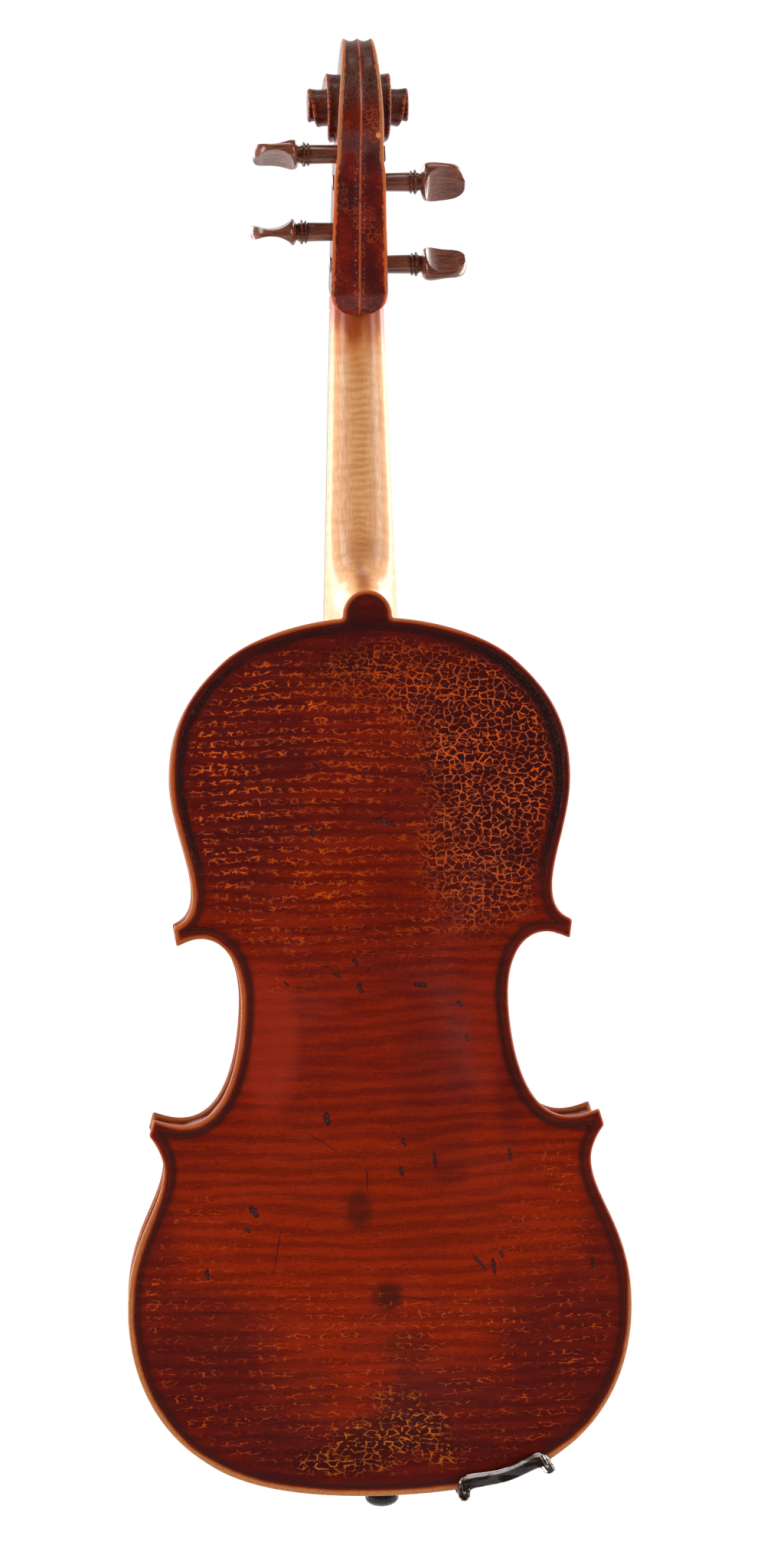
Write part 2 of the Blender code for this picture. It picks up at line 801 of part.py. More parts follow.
def corner_block(first, second):
    """Outline of a corner block between the ends of two bouts' lines."""
    a = bout_line(first, RIB_THICK + GAP)
    reach = lengths(a)[-1]
    a = cut_path(a, reach - CORNER_BLOCK_REACH - CORNER_BLOCK_SETBACK, reach - CORNER_BLOCK_SETBACK)
    b = cut_path(bout_line(second, RIB_THICK + GAP), CORNER_BLOCK_SETBACK,
                 CORNER_BLOCK_REACH + CORNER_BLOCK_SETBACK)
    return a + b


def make_blocks(parent, root_cutter, stem_cutter):
    low = GLUE_BACK + GAP
    high = GLUE_TOP - GAP
    upper = piece("upper_block", prism(end_block("upper", -1), low, high), "pale_wood", parent)
    boolean(upper, root_cutter)
    lower = piece("lower_block", prism(end_block("lower", 1), low, high), "pale_wood", parent)
    boolean(lower, stem_cutter)
    for place, first, second in (("lower", "lower", "waist"), ("upper", "waist", "upper")):
        outline = corner_block(first, second)
        for name, side in (("bass", 1), ("treble", -1)):
            piece(f"corner_block_{place}_{name}", prism(same_side(outline, side), low, high),
                  "pale_wood", parent)


def make_inside(parent):
    """The bass bar and the sound post, both fitted to the arching."""
    rings = []
    middle = (BASS_BAR_LOW_Z + BASS_BAR_HIGH_Z) / 2
    steps = 13
    step = (BASS_BAR_HIGH_Z - BASS_BAR_LOW_Z) / steps
    sides = [BASS_BAR_X - BASS_BAR_WIDTH / 2, BASS_BAR_X + BASS_BAR_WIDTH / 2]
    for i in range(steps + 1):
        z = BASS_BAR_LOW_Z + step * i
        v = abs(z - middle) / (BASS_BAR_HIGH_Z - middle)
        near = [z + step * k for k in (-0.5, -0.25, 0, 0.25, 0.5)]
        tops = [min(top_inside(x, place) for place in near) - GAP for x in sides]
        bottom = min(tops) - mix(BASS_BAR_DEPTH, BASS_BAR_END_DEPTH, v * v)
        rings.append([(sides[0], tops[0], z), (sides[1], tops[1], z),
                      (sides[1], bottom, z), (sides[0], bottom, z)])
    piece("bass_bar", loft(rings), "pale_wood", parent)
    post_z = BRIDGE_Z - POST_DROP
    ends = []
    for surface, gap in ((back_inside, GAP), (top_inside, -GAP)):
        ring = []
        for k in range(14):
            angle = 2 * math.pi * k / 14
            x = POST_X + POST_DIAMETER / 2 * math.cos(angle)
            z = post_z + POST_DIAMETER / 2 * math.sin(angle)
            ring.append((x, surface(x, z) + gap, z))
        ends.append(ring)
    piece("sound_post", loft(ends), "pale_wood", parent)


# Neck and fingerboard

def neck_point(x, s, t):
    """A point of the neck's sloping frame in the body's frame."""
    return (x, NUT_Y - s * math.sin(NECK_SLOPE) + t * math.cos(NECK_SLOPE),
            NUT_Z + s * math.cos(NECK_SLOPE) + t * math.sin(NECK_SLOPE))


def board_half(s):
    return mix(BOARD_NUT_WIDTH, BOARD_END_WIDTH, min(max(-s / BOARD_LENGTH, 0), 1)) / 2


def board_top(x, s):
    """The playing surface's height t over the neck."""
    half = board_half(s)
    sag = math.sqrt(BOARD_RADIUS ** 2 - x * x) - math.sqrt(BOARD_RADIUS ** 2 - half * half)
    return GAP + BOARD_EDGE + sag


def root_half(y):
    """Half the width of the neck's root at height y."""
    full = board_half(-NECK_LENGTH) + 0.2
    return mix(ROOT_BUTTON_HALF, full, (y - GLUE_BACK) / (TOP_EDGE + OVERSTAND - GLUE_BACK))


def neck_section(top, bottom, half, power):
    """A U-shaped section from one edge of the glue face round the back to the other."""
    ring = []
    for k in range(13):
        angle = math.pi * k / 12
        c = math.cos(angle)
        x = half * math.copysign(abs(c) ** (2 / power), c)
        depth = math.sin(angle) ** (2 / power)
        ring.append((x, mix(top[0], bottom[0], depth), mix(top[1], bottom[1], depth)))
    return ring


def neck_rings():
    """Sections down the neck, then turning round the heel to the button."""
    rings = []
    for s in (7.0, -1.0, -14.0, -60.0, -92.0):
        thick = mix(NECK_THICK_NUT, NECK_THICK_HEEL, min(max(-s / 100, 0), 1))
        top = neck_point(0, s, 0)
        bottom = neck_point(0, s, -thick)
        rings.append(neck_section(top[1:], bottom[1:], board_half(s), 2.15))
    start = neck_point(0, -100, 0)
    start_low = neck_point(0, -100, -NECK_THICK_HEEL)
    root_z = BODY_LENGTH - ROOT_DEPTH
    root_s = (root_z - NUT_Z) / math.cos(NECK_SLOPE)
    corner_point = neck_point(0, root_s, 0)
    face = GLUE_BACK + GAP
    glue_path = [start[1:], (corner_point[1], root_z), (face, root_z)]
    glue_lengths = lengths(glue_path)
    tip = (face, BODY_LENGTH + BUTTON_HEIGHT - GAP)
    heel = bezier(start_low[1:], (start_low[1] + 1.6, start_low[2] - 24), (face + 19, tip[1] - 1), tip, 9)
    heel.append(tip)
    for i, bottom in enumerate(heel):
        share = i / 9
        top = along(glue_path, glue_lengths, glue_lengths[-1] * share)
        on_board = glue_lengths[-1] * share <= glue_lengths[1]
        half = board_half((top[1] - NUT_Z) / math.cos(NECK_SLOPE)) if on_board else root_half(top[0])
        ring = neck_section(top, bottom, half, mix(2.15, 2.3, share))
        rings.append([(math.copysign(min(abs(x), root_half(y)), x), y, z) for x, y, z in ring])
    return rings


def root_cutter_shape():
    """The mortise for the neck's root."""
    low = GLUE_BACK - 2
    high = TOP_EDGE + OVERSTAND + 6
    deep = BODY_LENGTH - ROOT_DEPTH - GAP
    rings = []
    for z in (deep, BODY_LENGTH + 30):
        rings.append([(-root_half(low) - GAP, low, z), (root_half(low) + GAP, low, z),
                      (root_half(high) + GAP, high, z), (-root_half(high) - GAP, high, z)])
    return loft(rings)


def make_board(parent):
    free_s = -(NECK_LENGTH + ROOT_DEPTH + 4)
    rings = []
    for s in (-GAP, free_s / 2, free_s + 6, free_s - BOARD_HOLLOW_RUN, (free_s - BOARD_LENGTH) / 2,
              -BOARD_LENGTH):
        half = board_half(s)
        hollow = BOARD_HOLLOW if s < free_s else 0.0
        across = (-1, -0.75, -0.5, -0.25, 0, 0.25, 0.5, 0.75, 1)
        ring = [neck_point(half * u, s, board_top(half * u, s)) for u in across]
        for u in (1, 0.7, 0.35, 0, -0.35, -0.7, -1):
            ring.append(neck_point(half * u, s, GAP + hollow * (1 - u * u)))
        rings.append(ring)
    piece("fingerboard", loft(rings), "ebony", parent)


def string_x(name, spread):
    return spread / 2 * (1 - 2 * STRINGS.index(name) / 3)


def nut_height(x, name):
    """The height t of a string's middle over the nut."""
    return board_top(x, 0) + NUT_RISE + GAP + STRING_DIAMETERS[name] / 2


def make_nut(parent):
    half = BOARD_NUT_WIDTH / 2
    top = []
    for name in reversed(STRINGS):
        x = string_x(name, NUT_SPREAD)
        slot = STRING_DIAMETERS[name] / 2 + GAP
        floor = nut_height(x, name) - slot
        crown = nut_height(x, name) + 0.2
        top += [(x - slot, crown), (x - slot * 0.8, floor), (x + slot * 0.8, floor), (x + slot, crown)]
    edge = board_top(half, 0) + 0.5
    outline = [(-half, GAP), (-half, edge)] + top + [(half, edge), (half, GAP)]
    rings = [[neck_point(x, s, t) for x, t in outline] for s in (GAP, NUT_LENGTH + GAP)]
    piece("nut", loft(rings), "ebony", parent)


# Head

BACK_LINE = [(-4.5, -12.0), (-4.8, -15.6), (-4.3, -18.2), (-2.6, -20.4), (0.4, -22.3), (6.0, -24.6),
             (20, -29.0), (40, -34.5), (60, -41.5), (71, -46.0)]
CHIN_WIDTHS = [(0, 0.42), (4.0, 0.46), (6.0, 0.6), (8.0, 0.78), (11.0, 0.93), (15.0, 1.0)]
FRONT_LINE = [(7.0, 0.6), (20, -4.6), (40, -12.0), (58, -18.8), (67, -22.4), (72.5, -25.4), (76, -29.0)]
TURN_RADII = [(45, 28.6), (90, 28), (180, 31), (270, 24.5), (360, 16.5), (450, 15.5), (540, 14.5),
              (630, 12), (720, 9.8), (810, 8.3), (900, 7.75), (1260, 7.75)]
TURN_HALVES = [(45, 10.8), (90, 10), (180, 7.1), (270, 9.5), (360, 14), (450, 14.75), (540, 15.2),
               (630, 17), (720, 19.5), (810, 22), (900, 23.4), (1260, 23.4)]
VOLUTE_END = 368.0
VOLUTE_STEPS = 26
CORE_RADIUS = 12.0


def pegbox_half(s):
    return mix(PEGBOX_LOW_WIDTH, PEGBOX_HIGH_WIDTH, min(max((s - 5) / 74, 0), 1)) / 2


def turn_point(angle, radius):
    """A point of the scroll, its angle counted from straight down through the back."""
    turn = math.radians(angle)
    return (EYE_S - radius * math.cos(turn), EYE_T - radius * math.sin(turn))


def head_stations():
    """Outer points of the head with their half widths, and the inner points beside them."""
    outer = []
    inner = []
    back = spline(BACK_LINE, 2)
    from_chin = lengths(back)
    front = spline(FRONT_LINE, 3)
    front = even(front, len(back))
    for b, f, distance in zip(back, front, from_chin):
        outer.append((*b, pegbox_half(b[0]) * at(CHIN_WIDTHS, distance)))
        inner.append((*f, pegbox_half(f[0])))
    pegbox = len(outer)
    for i in range(VOLUTE_STEPS):
        angle = mix(50.0, VOLUTE_END, i / (VOLUTE_STEPS - 1))
        half = at(TURN_HALVES, angle)
        outer.append((*turn_point(angle, at(TURN_RADII, angle)), half))
        inner.append((*turn_point(angle, CORE_RADIUS), half))
    return outer, inner, pegbox


def ribbon(point, normal, fluted):
    """Seven points across the head's outer face, with chamfers and two flutes."""
    s, t, half = point
    flute = FLUTE if fluted else 0.0
    cut = CHAMFER if fluted else 0.0
    shape = [(half, cut), (half - CHAMFER, 0), (half * 0.5, flute), (0, 0),
             (-half * 0.5, flute), (-half + CHAMFER, 0), (-half, cut)]
    return [neck_point(x, s + normal[0] * depth, t + normal[1] * depth) for x, depth in shape]


def head_shape():
    """The pegbox and the first turn of the scroll as one solid."""
    outer, inner, pegbox = head_stations()
    contour = outer + list(reversed(inner[:pegbox]))
    points = []
    for i, point in enumerate(contour):
        a = contour[i - 1]
        b = contour[(i + 1) % len(contour)]
        length = math.dist(a[:2], b[:2])
        normal = (-(b[1] - a[1]) / length, (b[0] - a[0]) / length)
        points += ribbon(point, normal, 3 < i < len(outer))
    faces = []
    count = len(contour)
    for i in range(count):
        j = (i + 1) % count
        faces += [(i * 7 + k, i * 7 + k + 1, j * 7 + k + 1, j * 7 + k) for k in range(6)]
    for side, edge in ((1, 0), (-1, 6)):
        core = len(points)
        ring = inner[pegbox:]
        points += [neck_point(side * half, s, t) for s, t, half in ring]
        front = [(count - 1 - i) * 7 + edge for i in range(pegbox)]
        for i in range(pegbox - 1):
            faces.append((i * 7 + edge, (i + 1) * 7 + edge, front[i + 1], front[i]))
        last = pegbox - 1
        faces.append((last * 7 + edge, (last + 1) * 7 + edge, core, front[last]))
        for i in range(VOLUTE_STEPS - 1):
            a = (pegbox + i) * 7 + edge
            faces.append((a, a + 7, core + i + 1, core + i))
        end = core + VOLUTE_STEPS - 1
        faces.append((end, (pegbox + VOLUTE_STEPS - 1) * 7 + edge, front[last], core))
        faces.append(tuple(range(core, end + 1)))
    return points, faces


def volute_shape(side):
    """The inner turns of one volute: a spiral stair that climbs to the eye."""
    steps = 16
    first = 360
    total = steps * 2
    angles = [first + 360 * i / steps for i in range(total + 1)]
    base = 3.0
    points = []

    def add(angle, radius, half):
        s, t = turn_point(angle, radius)
        points.append(neck_point(side * half, s, t))
        return len(points) - 1

    low = [add(a, at(TURN_RADII, a), base) for a in angles[:steps]]
    rim = [add(a, at(TURN_RADII, a), at(TURN_HALVES, a) - CHAMFER) for a in angles]
    crest = [add(a, at(TURN_RADII, a) - CHAMFER, at(TURN_HALVES, a)) for a in angles]
    foot = [add(a, at(TURN_RADII, a + 360) + 0.2, at(TURN_HALVES, a) - 0.5) for a in angles[:steps + 1]]
    bottom = add(0, 0, base)
    faces = []
    for i in range(steps):
        j = (i + 1) % steps
        faces.append((bottom, low[j], low[i]))
        if i < steps - 1:
            faces.append((low[i], low[i + 1], rim[i + 1], rim[i]))
        faces.append((crest[i], crest[i + 1], foot[i + 1], foot[i]))
        faces.append((foot[i], foot[i + 1], rim[steps + i + 1], rim[steps + i]))
    faces += [(rim[i], rim[i + 1], crest[i + 1], crest[i]) for i in range(total)]
    faces.append((low[steps - 1], low[0], rim[0], crest[0], foot[0], rim[steps], rim[steps - 1]))
    faces.append((rim[total], foot[steps], crest[steps], crest[total]))
    eye = add(0, 0, at(TURN_HALVES, angles[-1]) + CHAMFER / 2)
    faces += [(crest[i], crest[i + 1], eye) for i in range(steps, total)]
    faces.append((crest[total], crest[steps], eye))
    return points, faces


def cavity_shape():
    """The space between the cheeks, open to the front."""
    start = NUT_LENGTH + 2 * GAP + 1.0
    rings = []
    stations = [start, 13, 22, 32, 42, 52, 62, 70, CAVITY_END - 2.5]
    for s in stations:
        half = pegbox_half(s) - CHEEK
        floor = at(BACK_LINE, s) + FLOOR
        if s == start:
            floor += 3
        corners = ((-half, CAVITY_HEADROOM), (half, CAVITY_HEADROOM), (half, floor), (-half, floor))
        rings.append([neck_point(x, s, t) for x, t in corners])
    half = pegbox_half(CAVITY_END) - CHEEK
    high = EYE_T - CORE_RADIUS / 3
    low = EYE_T - CORE_RADIUS
    corners = ((-half, high), (half, high), (half, low), (-half, low))
    rings.append([neck_point(x, CAVITY_END, t) for x, t in corners])
    return loft(rings)


# Pegs: each one's place along the head, its side, the angle of its thumb piece, and how far from
# the middle its winding starts

PEGS = {
    "c": {"s": 20.9, "side": 1, "turn": 48.0, "first": 2.0},
    "g": {"s": 58.6, "side": 1, "turn": -48.0, "first": 0.9},
    "d": {"s": 71.4, "side": -1, "turn": -77.0, "first": 0.9},
    "a": {"s": 36.2, "side": -1, "turn": 79.0, "first": 2.0},
}

# The thumb piece: share of its length, share of its widest half, and share of its lip's thickness
# that its hollowed faces leave
PEG_THUMB = [(0.03, 0.60, 0.80), (0.08, 0.88, 1.0), (0.15, 0.98, 0.73), (0.26, 1.0, 0.48),
             (0.40, 0.99, 0.30), (0.58, 0.95, 0.235), (0.74, 0.86, 0.31), (0.86, 0.68, 0.44),
             (0.95, 0.46, 0.48), (1.0, 0.20, 0.27)]


def peg_centre(name):
    s = PEGS[name]["s"]
    t = mix(at(FRONT_LINE, s), at(BACK_LINE, s), 0.48)
    return s, t


def peg_radius(name, out):
    """The shaft's radius at a distance from the centre line towards the peg's head."""
    return PEG_WALL_DIAMETER / 2 - PEG_TAPER / 2 * (pegbox_half(PEGS[name]["s"]) - out)


def peg_hole_shape(name):
    s, t = peg_centre(name)
    side = PEGS[name]["side"]
    reach = pegbox_half(s) + 6
    profile = [(-reach, peg_radius(name, -reach) + GAP), (reach, peg_radius(name, reach) + GAP)]
    return turned(profile, neck_point(0, s, t), (side, 0, 0), PEG_SIDES)


def peg_turning(name):
    """The turned part, from its small end to the neck under the thumb piece: reach and radius."""
    wall = pegbox_half(PEGS[name]["s"])
    out = wall + PEG_COLLAR_REACH
    collar = PEG_COLLAR_DIAMETER / 2
    small = peg_radius(name, -wall)
    return [(-wall - PEG_TAIL, small * 0.8), (-wall - PEG_TAIL + 0.6, small),
            (out - 0.1, peg_radius(name, out)), (out + 0.7, collar - 0.4),
            (out + 1.6, collar - 1.3), (out + 2.6, collar), (out + 3.6, collar - 1.3),
            (out + PEG_COLLAR_LENGTH - 0.5, PEG_NECK_DIAMETER / 2)]


def peg_sections(name):
    """Reach, half width, half thickness and the half that the hollowed faces leave of it."""
    wall = pegbox_half(PEGS[name]["s"])
    start = wall + PEG_COLLAR_REACH + PEG_COLLAR_LENGTH
    sections = [(reach, radius, radius, radius) for reach, radius in peg_turning(name)]
    for share, width, thick in PEG_THUMB:
        half = width * PEG_HEAD_WIDTH / 2
        lip = PEG_LIP_THICKNESS / 2
        sections.append((mix(start, wall + PEG_REACH, share), half, min(lip, half), thick * lip))
    return sections


def peg_shape(name):
    """A tapered shaft, a double collar and a thumb piece hollowed on both faces."""
    s, t = peg_centre(name)
    side = PEGS[name]["side"]
    centre = neck_point(0, s, t)
    turn = math.radians(PEGS[name]["turn"])
    rings = []
    for reach, half, thick, left in peg_sections(name):
        ring = []
        for k in range(PEG_SIDES):
            angle = 2 * math.pi * (k + 0.5) / PEG_SIDES
            a = half * math.cos(angle)
            b = max(-left, min(left, thick * math.sin(angle)))
            turned_a = a * math.cos(turn) - b * math.sin(turn)
            turned_b = a * math.sin(turn) + b * math.cos(turn)
            ring.append((centre[0] + side * reach, centre[1] + turned_b, centre[2] + turned_a))
        rings.append(ring)
    return loft(rings), centre


def nut_exit(name):
    """Where a string leaves the nut towards the pegs, in s and t."""
    return NUT_LENGTH + 2 * GAP, nut_height(string_x(name, NUT_SPREAD), name)


def winding_radius(name):
    return peg_radius(name, 0) + GAP + STRING_DIAMETERS[name] / 2


def tangent_angle(name):
    """The angle at the peg, in the s-t plane, where the string from the nut meets its winding."""
    s, t = peg_centre(name)
    from_s, from_t = nut_exit(name)
    away = math.dist((s, t), (from_s, from_t))
    facing = math.atan2(from_t - t, from_s - s)
    return facing - math.acos(winding_radius(name) / away)


def winding_points(name):
    """A helix round the peg's shaft, its first turn nearest the middle."""
    s, t = peg_centre(name)
    side = PEGS[name]["side"]
    radius = winding_radius(name)
    pitch = STRING_DIAMETERS[name] + WINDING_GAP
    start = tangent_angle(name)
    points = []
    for i in range(WINDING_TURNS * TURN_POINTS + 1):
        turns = i / TURN_POINTS
        angle = start - 2 * math.pi * turns
        x = side * (PEGS[name]["first"] + pitch * turns)
        points.append(neck_point(x, s + radius * math.cos(angle), t + radius * math.sin(angle)))
    return points


def least_gap(points, diameter):
    """The least space between a wound wire and itself, measured on its points."""
    return min(math.dist(p, q) - diameter for i, p in enumerate(points)
               for q in points[i + TURN_POINTS // 2:])


def make_pegs(root):
    for name in STRINGS:
        shape, centre = peg_shape(name)
        pivot = at_empty(f"peg_axis_{name}", centre, root)
        piece(f"peg_{name}", shape, "rosewood", pivot, centre)
        diameter = STRING_DIAMETERS[name]
        points = winding_points(name)
        tube_piece(f"winding_{name}", points, diameter, "winding", pivot, centre, 1)
        print(f"winding_{name}: least gap to itself {least_gap(points, diameter):.2f} mm")


# The neck as one carved piece

def make_neck(parent):
    neck = piece("neck", loft(neck_rings()), "maple", parent)
    boolean(neck, cutter("head_block", head_shape(), parent), "UNION")
    for side, name in ((1, "bass"), (-1, "treble")):
        boolean(neck, cutter(f"volute_{name}", volute_shape(side), parent), "UNION")
    boolean(neck, cutter("pegbox_cavity", cavity_shape(), parent))
    for name in STRINGS:
        boolean(neck, cutter(f"peg_hole_{name}", peg_hole_shape(name), parent))


# Bridge, tailpiece, saddle, strings

def bridge_top():
    """The crown's height in y, where a line over the nut clears the board's end by the strings' rise."""
    nut = neck_point(0, 0, board_top(0, 0) + NUT_RISE + GAP)
    end = neck_point(0, -BOARD_LENGTH, board_top(0, -BOARD_LENGTH) + STRING_RISE)
    return mix(nut[1], end[1], (BRIDGE_Z - nut[2]) / (end[2] - nut[2]))


def bridge_crown(x):
    """The bridge's top edge at x, in the body's y."""
    return bridge_top() + math.sqrt(BRIDGE_RADIUS ** 2 - x * x) - BRIDGE_RADIUS + BRIDGE_LEAN * x


def bridge_string(name):
    """A string's middle over the bridge."""
    x = string_x(name, BRIDGE_SPREAD)
    return (x, bridge_crown(x) + GAP + STRING_DIAMETERS[name] * 0.1, BRIDGE_Z)


def foot_seat(x):
    """The lowest that a foot may reach at x: just over the arching under it."""
    reach = BRIDGE_FOOT_THICK / 2
    spots = [top_outside(x + dx, BRIDGE_Z + dz) for dx in (-3, 0, 3) for dz in (-reach, 0, reach)]
    return max(spots) + GAP / 3


# The bridge's side, each point a share of half its span out and a share of its height up
BRIDGE_ARCH = [(0, 0.276), (0.33, 0.237), (0.478, 0.132)]
BRIDGE_FEET = [0.544, 0.78, 1.0]
BRIDGE_FLANK = [(1.0, 0.042), (0.82, 0.116), (0.746, 0.21), (0.778, 0.33), (0.675, 0.384), (0.5, 0.426),
                (0.476, 0.5), (0.563, 0.568), (0.746, 0.574), (0.88, 0.537), (0.905, 0.632), (0.833, 0.763)]
HEART = [(0, 0.5), (0.087, 0.537), (0.183, 0.61), (0.194, 0.674), (0.143, 0.716), (0.071, 0.71),
         (0.036, 0.663)]


def bridge_points(table):
    """Places on the bridge's side, from shares of its half span and height."""
    base = top_outside(0, BRIDGE_Z)
    return [(BRIDGE_FOOT_SPAN / 2 * x, mix(base, bridge_top(), y)) for x, y in table]


def bridge_side(side):
    """Half of the bridge's outline from the middle of its arch out to the middle of its top."""
    half = BRIDGE_FOOT_SPAN / 2
    outline = bridge_points(BRIDGE_ARCH)
    outline += [(half * share, foot_seat(side * half * share)) for share in BRIDGE_FEET]
    outline += bridge_points(BRIDGE_FLANK)
    tops = []
    for name in STRINGS[:2] if side > 0 else STRINGS[3:1:-1]:
        x = abs(string_x(name, BRIDGE_SPREAD))
        slot = STRING_DIAMETERS[name] / 2 + GAP
        tops += [(x + slot, 0.0), (x + slot * 0.4, slot), (x - slot * 0.4, slot), (x - slot, 0.0)]
    outline += [(x, bridge_crown(side * x) - drop) for x, drop in tops]
    return [(side * x, y) for x, y in outline]


def bridge_shape():
    outline = bridge_side(1) + [(0, bridge_crown(0))] + list(reversed(bridge_side(-1)))[:-1]
    low = top_outside(BRIDGE_FOOT_SPAN / 2, BRIDGE_Z)
    high = bridge_crown(0)
    rings = []
    for face in (-1, 1):
        ring = []
        for x, y in outline:
            thick = mix(BRIDGE_FOOT_THICK, BRIDGE_TOP_THICK, (y - low) / (high - low))
            ring.append((x, y, BRIDGE_Z + face * thick / 2))
        rings.append(ring)
    return loft(rings)


def heart_shape():
    """The heart cut through the bridge's middle."""
    half = bridge_points(HEART)
    outline = half + [(-x, y) for x, y in reversed(half) if x > 0]
    reach = BRIDGE_FOOT_THICK
    return loft([[(x, y, BRIDGE_Z + side * reach) for x, y in outline] for side in (-1, 1)])


def tail_frame():
    """The tailpiece's lower and upper end points in (y, z), on the line from saddle to bridge."""
    saddle = (TOP_EDGE + SADDLE_RISE, SADDLE_DEPTH / 2)
    bridge = (bridge_crown(0), BRIDGE_Z)
    length = math.dist(saddle, bridge)
    direction = ((bridge[0] - saddle[0]) / length, (bridge[1] - saddle[1]) / length)
    upper = length - AFTERLENGTH
    return saddle, direction, upper - TAILPIECE_LENGTH


def tail_point(x, along_tail, rise):
    """A point of the tailpiece's frame, along it from its lower end and out from its underside."""
    saddle, direction, lower = tail_frame()
    distance = lower + along_tail
    return (x, saddle[0] + direction[0] * distance + direction[1] * (rise - TAILPIECE_THICK),
            saddle[1] + direction[1] * distance - direction[0] * (rise - TAILPIECE_THICK))


def tail_half(u):
    """Half the tailpiece's width at a share of its length."""
    return mix(TAILPIECE_LOW_WIDTH, TAILPIECE_HIGH_WIDTH, u ** 1.3) / 2


def tail_crown(x, u):
    return TAILPIECE_THICK + TAILPIECE_CROWN * (1 - (x / tail_half(u)) ** 2)


def make_tailpiece(parent):
    rings = []
    stations = ((0.0, -1.6, 0.8), (0.03, 0, 1), (0.2, 0, 1), (0.45, 0, 1), (0.7, 0, 1), (0.935, 0, 1),
                (0.95, FRET_RISE, 1), (0.965, FRET_RISE, 1), (0.975, -0.2, 1), (1.0, -1.8, 0.96))
    for u, lift, draw in stations:
        half = tail_half(u) * draw
        reach = TAILPIECE_LENGTH * u
        ring = [tail_point(half * k, reach, tail_crown(half * k, u) + lift)
                for k in (-1, -0.6, -0.2, 0.2, 0.6, 1)]
        ring += [tail_point(half * k, reach, 1.4 * (1 - k * k)) for k in (0.95, 0.4, -0.4, -0.95)]
        rings.append(ring)
    tail = piece("tailpiece", loft(rings), "ebony", parent)
    for name in STRINGS:
        x = string_x(name, TAIL_SPREAD)
        low = Vector(tail_point(x, TAILPIECE_LENGTH * TAIL_HOLE, -6))
        up = Vector(tail_point(x, TAILPIECE_LENGTH * TAIL_HOLE, 20)) - low
        profile = [(0, TAIL_HOLE_DIAMETER / 2), (up.length, TAIL_HOLE_DIAMETER / 2)]
        boolean(tail, cutter(f"tail_hole_{name}", turned(profile, low, up, 12), parent))
        slot = STRING_DIAMETERS[name] / 2 + 0.4
        corners = ((-slot, -6), (slot, -6), (slot, 20), (-slot, 20))
        rings = [[tail_point(x + dx, TAILPIECE_LENGTH * u, rise) for dx, rise in corners]
                 for u in (TAIL_HOLE, TAIL_HOLE + 0.07)]
        boolean(tail, cutter(f"tail_slot_{name}", loft(rings), parent))


def tail_string(name):
    """A string's points in the tailpiece: from its hole up through the slot and over the fret."""
    x = string_x(name, TAIL_SPREAD)
    half = STRING_DIAMETERS[name] / 2
    over = tail_crown(x, FRET) + FRET_RISE + GAP + half
    route = ((TAIL_HOLE, 1.5), (TAIL_HOLE + 0.008, over * 0.6), (TAIL_HOLE + 0.025, over * 0.9),
             (FRET - 0.022, over + 0.15), (FRET, over))
    return [tail_point(x, TAILPIECE_LENGTH * u, rise) for u, rise in route]


def string_end(name):
    """Where a string stops, just clear of its winding."""
    s, t = peg_centre(name)
    angle = tangent_angle(name)
    radius = winding_radius(name)
    diameter = STRING_DIAMETERS[name]
    envelope = radius + diameter / 2
    clear = math.sqrt(max(2 * envelope * (diameter + GAP) - (diameter + GAP) ** 2, 0)) + GAP
    meet = (s + radius * math.cos(angle), t + radius * math.sin(angle))
    start = nut_exit(name)
    length = math.dist(meet, start)
    x = PEGS[name]["side"] * PEGS[name]["first"]
    share = 1 - clear / length
    return neck_point(mix(string_x(name, NUT_SPREAD), x, share), mix(start[0], meet[0], share),
                      mix(start[1], meet[1], share))


def make_strings(parent):
    for name in STRINGS:
        x = string_x(name, NUT_SPREAD)
        height = nut_height(x, name)
        bridge = bridge_string(name)
        points = tail_string(name)
        points += [(bridge[0], bridge[1] - 0.05, bridge[2] - 1.6), (bridge[0], bridge[1], bridge[2] + 1.2)]
        points += [neck_point(x, s, height) for s in (0, NUT_LENGTH - 1.0)]
        points += [neck_point(x, *nut_exit(name)), string_end(name)]
        tube_piece(f"string_{name}", points, STRING_DIAMETERS[name], "winding", parent)


def saddle_ring(depth, inset, lift):
    """A saddle section across X at one depth z."""
    half = SADDLE_HALF - inset
    base = GLUE_TOP
    top = TOP_EDGE + SADDLE_RISE - lift
    side_top = TOP_EDGE + 0.4
    return [(-half, base, depth), (half, base, depth), (half, side_top, depth), (half * 0.6, top, depth),
            (-half * 0.6, top, depth), (-half, side_top, depth)]


def make_saddle(parent):
    rings = [saddle_ring(0.2, 0, 1.6), saddle_ring(1.4, 0, 0.3), saddle_ring(3.0, 0, 0),
             saddle_ring(5.2, 0, 0.4), saddle_ring(SADDLE_DEPTH, 0, 2.2)]
    piece("saddle", loft(rings), "ebony", parent)


def saddle_notch_shape():
    half = SADDLE_HALF + GAP
    deep = SADDLE_DEPTH + GAP
    return loft([[(-half, y, -3), (half, y, -3), (half, y, deep), (-half, y, deep)]
                 for y in (GLUE_TOP - 6, TOP_EDGE + 20)])


def button_centre_y():
    return (GLUE_BACK + GLUE_TOP) / 2


